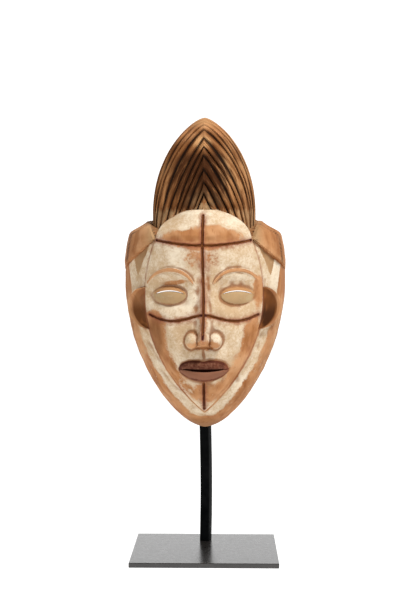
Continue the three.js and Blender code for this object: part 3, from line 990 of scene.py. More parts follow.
class MaskCarver:
    """Builds the carved mask as one closed mesh with its painted zones."""

    def __init__(self, form: MaskForm, wear: WearPattern) -> None:
        """Keep the form and the wear.

        Args:
            form: The mask's form.
            wear: Where it is worn.
        """
        self.form = form
        self.wear = wear
        self.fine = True

    def _pitch(self, count: int) -> int:
        return count if self.fine else max(count // 2, 2)

    def _heights(self) -> Array:
        """Give the head's row heights, close together where the carving is fine.

        Returns:
            Heights from the chin upwards.
        """
        s = self.form.sizes
        ends = (0.15, 4.0, 52.0, 84.0, 102.0, 124.0, 168.0, 188.0, s.hairline + 1.0, s.head_top)
        counts = (6, 40, 44, 24, 24, 58, 18, 52, 4)
        stretches = zip(ends[:-1], ends[1:], counts)
        rows = [np.linspace(low, high, self._pitch(count), endpoint=False) for low, high, count in stretches]
        return np.concatenate([*rows, [s.head_top]])

    def _angles(self, h: float) -> Array:
        """Give one row's angles from left to right, with columns along the edges of face and locks.

        Args:
            h: The row's height.

        Returns:
            Angles round the head's upright axis.
        """
        form, s = self.form, self.form.sizes
        level = np.array([h])
        width = float(form.outline(level)[0])
        face = float(form.face_half_width(level)[0]) if s.chin_tip < h < s.hairline else 0.0
        edge = min(max(face, 0.45 * width), 0.95 * width)
        t = np.linspace(-1.0, 1.0, self._pitch(140) + 1)
        across = edge * (0.6 * t + 0.4 * t**3)
        lock = float(form.lock_edge(level)[0])
        beside = lock if h > s.lock_inner[1] - 6.0 and lock > edge + 1.0 else edge + 3.2
        near = np.sort([edge + 0.7, edge + 1.4, edge + 2.1, beside - 0.8, beside, beside + 0.8])
        near = np.minimum(near, 0.985 * width)
        start = math.asin(near[-1] / width)
        rest = self._pitch(44)
        back = start + (math.pi / 2.0 - start) * np.linspace(0.0, 1.0, rest + 1)[1:] ** 1.1
        right = np.concatenate([np.arcsin(near / width), back])
        middle = np.arcsin(np.clip(across / width, -1.0, 1.0))
        return np.concatenate([-right[::-1], middle, right])

    def head(self) -> Object:
        """Build the head with its face, before it is hollowed.

        Returns:
            The head as a closed object.
        """
        heights = self._heights()
        angles = np.stack([self._angles(float(h)) for h in heights])
        rings = self.form.head_point(angles, heights[:, None])
        return Skin.stack(rings).solid("head", self.form.place)

    def _crest_rows(self, side: Side, face: CrestFace) -> Array:
        """Give one quarter of the crest as rows along its grooves, from its outline inwards.

        Args:
            side: The side that is meant.
            face: The face of the crest that is meant.

        Returns:
            Points by row, column and coordinate.
        """
        count = self.form.grooves(face)
        steps = (0.0, 0.1, 0.25, 0.42, 0.55, 0.66, 0.78, 0.89)
        cuts = (0.3, 0.06, -0.1, 0.0, 0.25, 0.85, 1.0, 0.8)
        along = np.linspace(0.0, 1.0, self._pitch(34) + 1) ** 1.4
        rows = []
        for k in range(count):
            for step, cut in zip(steps, cuts):
                depth = cut if k + step > 0.0 else 0.0
                rows.append(self._crest_row((k + step) / count, depth, along, side, face))
        rows.append(self._crest_row(1.0, 0.0, along, side, face))
        return np.stack(rows)

    def _crest_row(
        self, turn: float, cut: float, along: Array, side: Side, face: CrestFace
    ) -> Array:
        """Give one line of points down the crest, cut in by a share of the grooves' depth.

        Args:
            turn: 0 for the crest's outline and 1 for its last groove.
            cut: The share of the grooves' depth.
            along: Shares of the way down.
            side: The side that is meant.
            face: The face of the crest that is meant.

        Returns:
            One row of x, d and h per point.
        """
        form, s = self.form, self.form.sizes
        even = np.full_like(along, turn)
        strayed = even + form.groove_shift(even, along, np.full_like(along, side.value), form.grooves(face))
        x, h = form.groove_path(strayed, along, float(side.value))
        width = np.maximum(form.crest_half_width(s.height - h), 0.1)
        share = np.clip(x / width, 0.04, 0.98)
        ahead = form.crest_depth(h, share + 0.02, face) - form.crest_depth(h, share - 0.02, face)
        slope = np.abs(ahead / (0.04 * width))
        fade = smooth((s.height - h) / 26.0) * smooth(along * 18.0)
        depth = cut * s.groove_depth * fade / np.hypot(slope, 1.0)
        inward = -1.0 if face is CrestFace.FRONT else 1.0
        d = form.crest_depth(h, x / width, face) + inward * depth
        flat = np.stack([x * side.value, d, h], axis=-1)
        worn = s.unevenness * (Ripples(7, 16.0).at(flat) - 1.0) * smooth(along * 10.0)
        worn = worn * float(0.0 < turn < 1.0)
        x = s.crest_trim * np.maximum(x - slope * depth, 0.0)
        return np.stack([side.value * x, d - inward * worn, h], axis=-1)

    def crest(self) -> Object:
        """Build the crest of braided hair.

        Returns:
            The crest as a closed object.
        """
        skin = Skin()
        for side in Side:
            front = self._crest_rows(side, CrestFace.FRONT)
            back = self._crest_rows(side, CrestFace.BACK)
            skin.grid(front, turned=side is Side.RIGHT).grid(back, turned=side is Side.LEFT)
            foot = np.concatenate([front[:, -1], back[::-1, -1]])
            skin.cap(foot, turned=side is Side.LEFT)
        return skin.solid("crest", self.form.place)

    def _pad(
        self,
        name: str,
        side: Side,
        rows: int,
        row: Callable[[float], tuple[float, float, float, Callable[[Array], Array]]],
    ) -> Object:
        """Build a raised pad on a side wall.

        Args:
            name: The object's name.
            side: The side of the head it is on.
            rows: How many rows it has.
            row: Gives, for a share of the way up, a height, the widths it runs between and its lift across.

        Returns:
            The pad as a closed object.
        """
        form, s = self.form, self.form.sizes
        rings = []
        for t in np.linspace(0.0, 1.0, self._pitch(rows) + 1):
            h, start, end, lift = row(float(t))
            width = float(form.outline(np.array([h]))[0])
            low, high = (math.asin(min(max(value / width, 0.0), 1.0)) for value in (start, end))
            u = np.linspace(0.0, 1.0, self._pitch(16) + 1)
            outer = form.head_point(mix(low, high, u), np.full_like(u, h), lift(u))
            roots = form.head_point(np.array([high, low]), np.array([h, h]), -s.pad_root)
            ring = np.concatenate([outer, roots])
            if side is Side.LEFT:
                ring = ring[::-1] * np.array([-1.0, 1.0, 1.0])
            rings.append(ring)
        return Skin.stack(np.stack(rings)).solid(name, form.place)

    def lock(self, side: Side) -> Object:
        """Build the lock of hair beside the forehead.

        Args:
            side: The side that is meant.

        Returns:
            The lock as a closed object.
        """
        form, s = self.form, self.form.sizes

        def row(t: float) -> tuple[float, float, float, Callable[[Array], Array]]:
            """Give one level of the lock.

            Args:
                t: The share of the way up.

            Returns:
                Its height, where it starts and ends from the middle, and its lift across.
            """
            h = mix(s.lock_outer[1], s.shoulder, t)
            start = float(form.lock_edge(np.array([h]))[0]) + 1.5
            full = s.lock_rise * min(max((s.half_width - start) / 12.0, 0.1), 1.0)
            return h, start, s.half_width, lambda u: full * (1.0 - 0.85 * smooth(u)) - 0.6 * bell(u / 0.05)

        return self._pad(f"lock_{side.name.lower()}", side, 44, row)

    def ear(self, side: Side) -> Object:
        """Build an ear: a half-moon, dished towards the face and raised along its outer edge.

        Args:
            side: The side that is meant.

        Returns:
            The ear as a closed object.
        """
        form, s = self.form, self.form.sizes

        def row(t: float) -> tuple[float, float, float, Callable[[Array], Array]]:
            """Give one level of the ear.

            Args:
                t: The share of the way up.

            Returns:
                Its height, where it starts and ends from the middle, and its lift across.
            """
            v = t * 2.0 - 1.0
            h = s.ear_line + v * s.ear_half_height
            start = float(form.face_half_width(np.array([h]))[0]) - 1.0
            reach = s.ear_width * math.sqrt(max(0.0, 1.0 - v * v))
            full = min(1.0, reach / 8.0)

            def lift(u: Array) -> Array:
                """Rise from the dish to the outer edge, which is rounded over."""
                return mix(-1.0, s.ear_rise, u**1.6) * full - 0.8 * bell((1.0 - u) / 0.05)

            return h, start, start + reach, lift

        return self._pad(f"ear_{side.name.lower()}", side, 36, row)

    def hollow(self) -> Object:
        """Build the inside of the mask, open at the back.

        Returns:
            The cutter as a closed object.
        """
        h, width, depth = self.form.hollow_level(np.linspace(0.0, 1.0, self._pitch(48) + 1))
        angle = np.linspace(-math.pi / 2.0, math.pi / 2.0, self._pitch(48) + 1)
        across = width[:, None] * np.sin(angle)
        forward = depth[:, None] * np.cos(angle)
        inside = np.stack([across, forward, np.broadcast_to(h[:, None], across.shape)], axis=-1)
        ends = [np.stack([sign * width, np.full_like(h, -5.0), h], axis=-1) for sign in (1.0, -1.0)]
        rings = np.concatenate([inside, np.stack(ends, axis=1), inside[:, :1]], axis=1)
        return Skin().grid(rings).solid("hollow", self.form.place)

    def _slab(
        self, name: str, x: Array, middle: Array, half: Array, reach: tuple[float, float]
    ) -> Object:
        """Build a cutter that follows a line seen from in front.

        Args:
            name: The object's name.
            x: Distances across, from left to right.
            middle: The line's heights.
            half: Half the cut's height at each place.
            reach: How far in front of the rim's plane the cut starts and ends.

        Returns:
            The cutter as a closed object.
        """
        near, far = (np.full_like(x, value) for value in reach)
        low, high = middle - half, middle + half
        corners = [(near, low), (near, high), (far, high), (far, low)]
        rings = np.stack([np.stack([x, depth, level], axis=-1) for depth, level in corners], axis=1)
        return Skin.stack(rings).solid(name, self.form.place)

    def slit(self, side: Side) -> Object:
        """Build the cutter for the slit under one upper lid.

        Args:
            side: The side that is meant.

        Returns:
            The cutter as a closed object.
        """
        s = self.form.sizes
        reach = s.lid_half_width * 0.98
        u = np.linspace(-1.0, 1.0, self._pitch(28) + 1)
        x = side.value * s.fifth + reach * u
        half = s.eye_slit / 2.0 * np.sqrt(np.maximum(0.01, 1.0 - (0.98 * u) ** 2))
        reach = (s.face_depth / 3.0, s.face_depth * 1.4)
        return self._slab(f"slit_{side.name.lower()}", x, self.form.slit_height(x), half, reach)

    def mouth(self) -> Object:
        """Build the cutter for the parting of the lips.

        Returns:
            The cutter as a closed object.
        """
        s = self.form.sizes
        reach = s.mouth_half_width * 0.85
        x = np.linspace(-reach, reach, self._pitch(28) + 1)
        half = s.mouth_opening / 2.0 * np.maximum(0.01, 1.0 - (x / reach) ** 2) ** 0.7
        front = float(self.form.head_point(np.zeros(1), np.array([s.mouth_line]))[0, 1])
        line = s.mouth_line - 0.4 * np.cos(x / 8.0)
        return self._slab("parting", x, line, half, (front - 8.0, s.face_depth * 1.4))

    def build(self) -> Object:
        """Join and cut all of the mask's forms and paint its zones.

        Returns:
            The finished mask.
        """
        whole = self.head()
        joined = [self.crest(), *(self.lock(side) for side in Side), *(self.ear(side) for side in Side)]
        cutters = [self.hollow(), self.mouth(), *(self.slit(side) for side in Side)]
        for piece, operation in [*((p, "UNION") for p in joined), *((p, "DIFFERENCE") for p in cutters)]:
            step = whole.modifiers.new(piece.name, "BOOLEAN")
            step.operation = operation
            step.solver = "MANIFOLD"
            step.object = piece
        mask = applied(whole, "carved_mask")
        for piece in [*joined, *cutters]:
            bpy.data.objects.remove(piece)
        self._keep_within(mask)
        self._paint(shaded(mask, 38.0))
        return mask

    def _keep_within(self, mask: Object) -> None:
        """Hold every vertex inside the solid's own box.

        Args:
            mask: The mask.
        """
        low, high = (np.array(corner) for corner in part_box("mask"))
        held = np.clip(rows_of(mask.data.vertices, "co"), low, high)
        mask.data.vertices.foreach_set("co", held.astype(np.float32).ravel())
        mask.data.update()

    def _paint(self, mask: Object) -> None:
        """Work out each zone's strength at every vertex and store it on the mesh.

        Args:
            mask: The mask.
        """
        mesh = mask.data
        points = self.form.measure(rows_of(mesh.vertices, "co").astype(float))
        facing = rows_of(mesh.vertex_normals, "vector").astype(float) * np.array([1.0, -1.0, 1.0])
        strengths = self.zones(points, facing)
        bend = self._bend(mesh, points, facing)
        strengths[Zone.EDGE] = smooth((bend - 0.012) / 0.05)
        strengths[Zone.CREVICE] = smooth((-bend - 0.012) / 0.06)
        for zone, strength in strengths.items():
            layer = mesh.attributes.new(zone.value, "FLOAT", "POINT")
            layer.data.foreach_set("value", unit(strength).astype(np.float32))

    @staticmethod
    def _bend(mesh: bpy.types.Mesh, points: Array, facing: Array) -> Array:
        """Measure how sharply the surface bends at every vertex.

        Args:
            mesh: The mask's mesh.
            points: Its vertices in the mask's measure.
            facing: Its outward directions in the same measure.

        Returns:
            Positive on raised edges and negative in hollow ones, per millimetre.
        """
        ends = np.empty(len(mesh.edges) * 2, dtype=np.int32)
        mesh.edges.foreach_get("vertices", ends)
        a, b = ends.reshape(-1, 2).T
        step = points[b] - points[a]
        square = np.maximum((step * step).sum(axis=1), 0.01)
        turn = ((facing[b] - facing[a]) * step).sum(axis=1) / square
        weight = np.sqrt(square)

        def gather(at_a: Values, at_b: Values) -> Array:
            """Add up what the edges bring to each vertex from its two ends."""
            return np.bincount(a, at_a * weight, len(points)) + np.bincount(b, at_b * weight, len(points))

        whole = np.maximum(gather(1.0, 1.0), 1e-6)
        bend = gather(turn, turn) / whole
        for _ in range(3):
            bend = 0.4 * bend + 0.6 * gather(bend[b], bend[a]) / whole
        return bend

    def _inside(self, points: Array, facing: Array, outside: Array) -> Array:
        """Tell how far each point belongs to the hollow, from its place, its direction and its distance.

        Args:
            points: Places in the mask's measure.
            facing: The surface's outward directions in the same measure.
            outside: Distances outside the face's edge.

        Returns:
            Strengths from 0 to 1.
        """
        form, s = self.form, self.form.sizes
        x, d, h = points.T
        towards = (facing[:, 0] * x + facing[:, 1] * d) / np.maximum(np.hypot(x, d), 1.0)
        level = (h < s.hollow_top + 1.0) * (h > s.chin_wall - 1.0) * (outside > -70.0)
        outer = form.head_point(np.arcsin(np.clip(x / form.outline(h), -1.0, 1.0)), h)[:, 1]
        deep = (outer - d > 8.0) * (h < s.hollow_top) * (towards < 0.4)
        return np.maximum(rise(-towards - 0.35, 0.3) * level, deep)

    def _strands(self, points: Array, facing: Array) -> tuple[Array, Array, Array]:
        """Find each point's strand of the crest, its share of the way down, and the strength of a groove.

        Args:
            points: Places in the mask's measure.
            facing: The surface's outward directions in the same measure.

        Returns:
            The strands' numbers, the shares and the strengths.
        """
        s = self.form.sizes
        x, _, h = points.T
        level = np.minimum(h, s.height - 0.5)
        fronts, backs = (self.form.strand_place(x / s.crest_trim, level, face) for face in CrestFace)
        ahead = facing[:, 1] > -0.2
        strand = np.where(ahead, fronts[0], backs[0])
        along = np.where(ahead, fronts[1], backs[1])
        phase = strand % 1.0
        groove = smooth((phase - 0.6) / 0.12) * (1.0 - smooth((phase - 0.92) / 0.08))
        return strand, along, groove * smooth((s.height - h) / 26.0)

    def _stain(self, x: Array, h: Array, face: Array, outside: Array) -> Array:
        """Give the strength of the reddish stain along the cut lines, the ridge and the face's border.

        Args:
            x: Distances across.
            h: Heights.
            face: How far each place belongs to the face.
            outside: Distances outside the face's edge.

        Returns:
            Strengths from 0 to 1.
        """
        line = self.form.line_distance(x, h) / self.form.sizes.line_width
        ridge = bell(x / 8.0) * smooth((h - 122.0) / 8.0) * smooth((190.0 - h) / 8.0)
        washed = np.maximum(0.46 * bell(line / 1.9), 0.45 * ridge)
        border = bell(outside - 1.0) * smooth((h - 30.0) / 10.0) * (h < self.form.sizes.arch_foot)
        return np.maximum(np.maximum(bell(line / 0.7), washed) * face, 0.42 * border)

    def zones(self, points: Array, facing: Array) -> dict[Zone, Array]:
        """Work out how strong each zone is at points of the surface.

        Args:
            points: Places in the mask's measure.
            facing: The surface's outward directions in the same measure.

        Returns:
            One strength per point for each zone.
        """
        form, s, wear = self.form, self.form.sizes, self.wear
        x, d, h = points.T
        a = np.abs(x)
        outside = form.outside_face(x, h)
        out = 1.0 - self._inside(points, facing, outside)
        face = 1.0 - rise(outside - 0.5, 1.5)
        edge = form.face_half_width(h)
        # Hair: locks and crest
        low_lock = form.lock_edge(h)
        on_lock = rise(a - low_lock - 0.8, 1.0) * (h > s.lock_outer[1] - 1.0)
        on_crest = (h > s.arch_foot - 3.0) * rise(low_lock + 1.0 - a, 1.0)
        on_crest = (1.0 - face) * np.maximum(on_crest, h > s.shoulder + 1.5)
        strand, along, groove = self._strands(points, facing)
        groove = groove * on_crest
        rim_gap = np.minimum(form.outline(h) - a, 1.3 * (form.outline(h + 5.0) - a) + 3.0)
        contour = bell(rim_gap - 5.0) * on_lock * smooth((h - s.lock_outer[1]) / 12.0)
        contour = contour * smooth((facing[:, 1] - 0.15) / 0.2)
        olive = on_lock * smooth((62.0 - a) / 14.0)
        dust = on_crest * (1.0 - groove) * bell((outside - 2.0) / 11.0)
        # Ears
        v = np.clip((h - s.ear_line) / s.ear_half_height, -1.0, 1.0)
        ear_edge = edge + s.ear_width * np.sqrt(1.0 - v * v)
        ear = rise(ear_edge + 2.5 - a, 1.5) * rise(outside - 0.2, 1.0) * (np.abs(v) < 1.0)
        ear_top = s.ear_line + s.ear_half_height - 4.0
        dark_ear = 0.36 + 0.34 * (x > 0.0) + 0.34 * smooth((s.ear_line + 12.0 - h) / 24.0)
        # Less dark along the ear's raised outer rim: partly rubbed, partly painted highlight.
        dark_ear = ear * dark_ear * (1.0 - 0.7 * smooth((a - ear_edge + 3.0) / 2.5))
        # Temples, with a wedge in the white
        foot = s.lock_inner[1] - wear.wedge_drop
        up = unit((h - foot) / (wear.wedge_drop - 2.0))
        wedge_in = mix(wear.wedge_tip, wear.wedge_inner, up) + 0.3 * np.sin(h / 3.0)
        wedge_out = mix(wear.wedge_tip, wear.wedge_outer, up**0.8)
        wedge = rise(a - wedge_in, 1.4) * rise(wedge_out - a, 1.4) * (h > foot - 1.0) * (1.0 - on_lock)
        skin_out = mix(wear.wedge_outer, wear.temple_outer, unit((h - ear_top) / 24.0))
        temple = rise(skin_out - a, 1.5) * rise(outside - 1.0, 1.0) * (h > ear_top - 8.0)
        temple = temple * (h < s.arch_foot + 2.0) * (1.0 - wedge) * (1.0 - on_lock) * (1.0 - ear)
        # Jaw, with a white valley inside its collar
        jaw = smooth((ear_top - 4.0 - h) / 6.0) * smooth((h - 14.0) / 8.0) * (1.0 - ear)
        valley = bell((outside - 6.5) / 5.2) * rise(outside - 1.5, 2.0) * jaw
        collar = (1.0 - face) * jaw * 0.24 * smooth((outside - 2.0) / 8.0)
        # Face
        top, base = form.lip_edges(x)
        lips = rise(s.mouth_half_width - a, 1.2) * (d > 60.0)
        lips = rise(top - h + 0.3, 1.0) * rise(h - base + 0.3, 1.0) * lips
        brow = rise(form.brow_place(x, h) + 0.1, 0.9) * face
        lid = rise(1.0 - form.lid_place(x, h), 0.12) * face
        upper = lid * rise(h - form.slit_height(x) - 0.3, 1.5) + lips * rise(h - s.mouth_line, 2.0)
        white = face * (1.0 - unit(total(wear.rubbed, x, h))) * (1.0 - 0.6 * lid) * (1.0 - 0.95 * brow)
        valley = valley * (1.1 + 0.2 * (x < 0.0))
        white = np.maximum.reduce([white, temple * 1.15, valley, wedge * 0.2, collar])
        # Darker and lighter hair and wood
        middle = bell(x / 26.0) * bell((h - 256.0) / 34.0)
        shade = unit(0.74 + 0.6 * middle - 0.32 * smooth((x - 14.0) / 26.0))
        shade = shade * (1.0 - 0.7 * smooth((h - 272.0) / 34.0)) * (1.0 - 0.55 * bell((outside - 2.0) / 9.0))
        shade = np.maximum.reduce([shade, *(patch.at(x, h) for patch in wear.dark_crest)])
        dark_lock = on_lock * 0.06 + olive * 0.16
        stained = total(wear.stained, x, h)
        # The wedge's hair tone deepens and its pale olive fades towards the top, under the lock: painted
        # shade.
        hair = np.maximum.reduce([on_crest * shade, dark_ear, wedge * (0.2 + 0.25 * up), dark_lock, stained])
        pale = np.maximum.reduce([lid, 0.85 * wedge * (1.0 - 0.6 * up), 0.85 * olive, 0.6 * dust])
        return {
            Zone.WHITE: white * out * (1.0 - lips),
            Zone.HAIR: hair * out,
            Zone.LIP: lips * out,
            Zone.STAIN: self._stain(x, h, face, outside) * out,
            Zone.LID: pale * out,
            Zone.GROOVE: np.maximum(groove, 0.9 * contour),
            Zone.LIGHT: total(wear.worn_and_highlit_crest, x, h) * on_crest,
            Zone.INSIDE: 1.0 - out,
            Zone.TURN: strand / 16.0 * on_crest,
            Zone.ALONG: along * on_crest,
            Zone.UPPER: upper,
        }


class NodeWriter:
    """Adds nodes to a node tree and joins them."""

    def __init__(self, tree: bpy.types.NodeTree) -> None:
        """Keep the tree."""
        self.tree = tree

    def feed(self, node: bpy.types.Node, inputs: dict[str | int, object]) -> None:
        """Link inputs of a node to other nodes, or set their plain values.

        Args:
            node: The node.
            inputs: Values or sockets by the names or numbers of the node's inputs.
        """
        for name, value in inputs.items():
            source = value.socket if isinstance(value, Level) else value
            if isinstance(source, Socket):
                self.tree.links.new(source, node.inputs[name])
            else:
                node.inputs[name].default_value = source

    def add(self, kind: str, inputs: dict[str | int, object], **settings: object) -> bpy.types.Node:
        """Add a node with its properties and its inputs.

        Args:
            kind: The node's type.
            inputs: Values or sockets by the names or numbers of the node's inputs.
            settings: The node's properties.

        Returns:
            The node.
        """
        node = self.tree.nodes.new(kind)
        for name, value in settings.items():
            setattr(node, name, value)
        self.feed(node, inputs)
        return node


class Level:
    """A strength that nodes work out, with plain sums on it."""

    def __init__(self, writer: NodeWriter, socket: Socket) -> None:
        """Keep the socket and the writer of its nodes."""
        self.writer = writer
        self.socket = socket

    def _sum(self, operation: str, first: object, second: object) -> Level:
        """Do one sum."""
        node = self.writer.add("ShaderNodeMath", {0: first, 1: second}, operation=operation)
        return Level(self.writer, node.outputs[0])

    def __add__(self, other: object) -> Level:
        """Add to the strength."""
        return self._sum("ADD", self, other)

    def __sub__(self, other: object) -> Level:
        """Take from the strength."""
        return self._sum("SUBTRACT", self, other)

    def __rsub__(self, other: object) -> Level:
        """Take the strength from a plain value."""
        return self._sum("SUBTRACT", other, self)

    def __mul__(self, other: object) -> Level:
        """Multiply the strength."""
        return self._sum("MULTIPLY", self, other)

    def ramp(self, low: float, high: float) -> Level:
        """Ease the strength from 0 at one level to 1 at another.

        Args:
            low: The level that gives 0.
            high: The level that gives 1.

        Returns:
            The eased strength.
        """
        span = {"Value": self, "From Min": low, "From Max": high}
        node = self.writer.add("ShaderNodeMapRange", span, interpolation_type="SMOOTHSTEP")
        return Level(self.writer, node.outputs["Result"])


class Shader(NodeWriter):
    """Writes one node material step by step."""

    def __init__(self, name: str) -> None:
        """Start a material with only its output and principled shader.

        Args:
            name: The material's name.
        """
        self.material = bpy.data.materials.new(name)
        self.material.use_nodes = True
        super().__init__(self.material.node_tree)
        self.principled = self.tree.nodes["Principled BSDF"]

    def zone(self, zone: Zone) -> Level:
        """Read one of the mask's painted zones."""
        return Level(self, self.add("ShaderNodeAttribute", {}, attribute_name=zone.value).outputs["Fac"])

    def blend(self, factor: Level, low: object, high: object) -> Socket:
        """Blend two colours.

        Args:
            factor: The share of the second colour.
            low: The first colour.
            high: The second colour.

        Returns:
            The blended colour.
        """
        node = self.add("ShaderNodeMix", {}, data_type="RGBA")
        numbers = {socket.identifier: number for number, socket in enumerate(node.inputs)}
        values = (("Factor_Float", factor), ("A_Color", low), ("B_Color", high))
        self.feed(node, {numbers[name]: value for name, value in values})
        return next(socket for socket in node.outputs if socket.identifier == "Result_Color")

    def noise(self, scale: float, detail: float, upright: float = 1.0, roughness: float = 0.55) -> Level:
        """Make noise in the object's own measure.

        Args:
            scale: Waves per metre.
            detail: How many finer layers it has.
            upright: The share of that scale from bottom to top, below 1 for a grain that runs upwards.
            roughness: How strong the finer layers are.

        Returns:
            The noise's strength.
        """
        place = self.add("ShaderNodeTexCoord", {}).outputs["Object"]
        stretched = self.add("ShaderNodeMapping", {"Vector": place, "Scale": (1.0, 1.0, upright)})
        inputs = {"Vector": stretched.outputs["Vector"], "Scale": scale}
        inputs |= {"Detail": detail, "Roughness": roughness}
        return Level(self, self.add("ShaderNodeTexNoise", inputs).outputs["Fac"])

    def bump(self, height: Level, strength: float, distance: float) -> None:
        """Let a height disturb the surface's shading."""
        node = self.add("ShaderNodeBump", {"Strength": strength, "Distance": distance, "Height": height})
        self.feed(self.principled, {"Normal": node.outputs["Normal"]})


@dataclass(frozen=True)
class CarvedWoodFinish:
    """The colours and measures of dry brown wood with worn white kaolin, dark hair and reddish lips."""

    name: str = "carved_wood"
    wood: Colour = srgb(178, 123, 78)
    wood_dark: Colour = srgb(136, 82, 42)
    wood_light: Colour = srgb(202, 153, 110)
    white: Colour = srgb(226, 210, 185)
    white_thin: Colour = srgb(192, 162, 126)
    hair: Colour = srgb(54, 26, 8)
    hair_mid: Colour = srgb(104, 60, 27)
    hair_light: Colour = srgb(154, 104, 62)
    groove: Colour = srgb(20, 7, 2)
    # The colour of the crest's lighter patches, partly rubbed and partly painted highlight.
    light: Colour = srgb(206, 158, 108)
    lip: Colour = srgb(80, 40, 28)
    lip_worn: Colour = srgb(134, 90, 68)
    stain: Colour = srgb(58, 15, 13)
    stain_worn: Colour = srgb(140, 80, 56)
    lid: Colour = srgb(172, 150, 112)
    upper_lid: Colour = srgb(180, 122, 74)
    inside: Colour = srgb(92, 60, 38)
    roughness: float = 0.72
    reflection: float = 0.07
    bump_strength: float = 0.5
    bump_depth: float = 0.0009
    strands_across: float = 60.0
    strands_along: float = 6.0


class WoodPainter(Shader):
    """Paints the carved wood layer by layer."""

    def __init__(self, finish: CarvedWoodFinish) -> None:
        """Lay out the zones and noises that the layers share.

        Args:
            finish: The colours and measures.
        """
        super().__init__(finish.name)
        self.finish = finish
        self.zones = {zone: self.zone(zone) for zone in Zone}
        self.grain = self.noise(90.0, 6.0, 0.16)
        self.blotch = self.noise(26.0, 5.0)
        self.flake = self.noise(150.0, 8.0, roughness=0.68)
        self.speckle = self.noise(520.0, 5.0, roughness=0.7)
        across = self.zones[Zone.TURN] * finish.strands_across
        along = self.zones[Zone.ALONG] * finish.strands_along
        strand = self.add("ShaderNodeCombineXYZ", {"X": across, "Y": along})
        inputs = {"Vector": strand.outputs["Vector"], "Scale": 1.0, "Detail": 5.0}
        self.streak = Level(self, self.add("ShaderNodeTexNoise", inputs).outputs["Fac"])

    def make(self) -> bpy.types.Material:
        """Build the material.

        Returns:
            The material.
        """
        f = self.finish
        cover = self._cover()
        colour = self._lines(self._white(self._hair(self._wood()), cover))
        surface = {"Base Color": colour, "Roughness": f.roughness, "Specular IOR Level": f.reflection}
        self.feed(self.principled, surface)
        height = self.grain * 0.5 + self.noise(420.0, 4.0) * 0.25 + cover * 0.3 + self.streak * 0.7
        self.bump(height, f.bump_strength, f.bump_depth)
        return self.material

    def _wood(self) -> Socket:
        """Colour the bare wood, with a darker grain, reddish patches and rubbed lighter places and edges.

        Returns:
            The colour.
        """
        f = self.finish
        wood = self.blend(self.grain.ramp(0.34, 0.84), f.wood, f.wood_dark)
        wood = self.blend(self.blotch.ramp(0.42, 0.72), wood, f.wood_light)
        rust = self.noise(52.0, 7.0, 0.4, 0.68).ramp(0.5, 0.66)
        wood = self.blend(rust * 0.42, wood, f.stain_worn)
        pores = self.noise(340.0, 5.0, 0.2).ramp(0.56, 0.72)
        wood = self.blend(pores * 0.5, wood, f.wood_dark)
        return self.blend(self.zones[Zone.EDGE] * 0.5, wood, f.wood_light)

    def _hair(self, under: Socket) -> Socket:
        """Stain the hair dark brown, worn lighter in streaks along its strands, and lighter in patches and
        along the strands' crowns, partly rubbed and partly painted highlight.

        Args:
            under: The colour underneath.

        Returns:
            The colour.
        """
        f, zones, streak, blotch = self.finish, self.zones, self.streak, self.blotch
        tone = self.blend(streak.ramp(0.4, 0.7) * 0.5, f.hair_mid, f.hair)
        deep = zones[Zone.HAIR].ramp(0.7, 1.0) * 0.92
        tone = self.blend(deep, tone, f.hair)
        worn = streak.ramp(0.52, 0.3) * blotch.ramp(0.4, 0.62)
        tone = self.blend(worn * 0.75, tone, f.hair_light)
        strength = zones[Zone.HAIR] + (blotch - 0.5) * 0.4 + (streak - 0.5) * 0.5
        colour = self.blend(strength.ramp(0.1, 0.62), under, tone)
        # Lighter crest patches, partly rubbed and partly painted highlight.
        colour = self.blend(zones[Zone.LIGHT] * streak.ramp(0.62, 0.4), colour, f.light)
        # Lighter along the strands' crowns: partly rubbed, partly painted highlight.
        edge = zones[Zone.EDGE] * (1.0 - deep) * (zones[Zone.HAIR] * 0.75)
        colour = self.blend(edge, colour, f.hair_light)
        return self.blend(zones[Zone.GROOVE] * 0.97, colour, f.groove)

    def _cover(self) -> Level:
        """Decide where the white still lies: ragged where it is thin, and gone from edges."""
        spread = self.flake * 1.4 - 0.7 + (self.blotch - 0.5) * 0.7 + (self.speckle - 0.5) * 0.9
        return (self.zones[Zone.WHITE] + spread - self.zones[Zone.EDGE] * 0.22).ramp(0.27, 0.68)

    def _white(self, under: Socket, cover: Level) -> Socket:
        """Lay the white where it is left, and colour the eyelids.

        Args:
            under: The colour underneath.
            cover: How much of the white is left.

        Returns:
            The colour.
        """
        f = self.finish
        thin = (self.blotch + self.flake * 0.5 + self.speckle * 0.5).ramp(0.8, 1.18)
        chalk = self.blend(thin, f.white, f.white_thin)
        specks = self.speckle.ramp(0.6, 0.72) * self.blotch.ramp(0.46, 0.62)
        chalk = self.blend(specks * 0.6, chalk, f.stain_worn)
        colour = self.blend(cover, under, chalk)
        colour = self.blend(self.zones[Zone.LID] * 0.65, colour, f.lid)
        return self.blend(self.zones[Zone.UPPER] * 0.6, colour, f.upper_lid)

    def _lines(self, under: Socket) -> Socket:
        """Stain the cut lines reddish, darken crevices with painted shade, and colour the lips, the upper lip
        darker with painted shade, and the inside.

        Args:
            under: The colour underneath.

        Returns:
            The colour.
        """
        f, zones = self.finish, self.zones
        ragged = zones[Zone.STAIN] + (self.flake - 0.5) * 0.9
        colour = self.blend(ragged.ramp(0.1, 0.6) * 0.8, under, f.stain_worn)
        colour = self.blend(ragged.ramp(0.5, 0.9) * 0.96, colour, f.stain)
        # Painted shade: the wood is darkened in crevices.
        crevice_shade = zones[Zone.CREVICE] * (1.0 - zones[Zone.GROOVE]) * 0.75
        colour = self.blend(crevice_shade, colour, f.wood_dark)
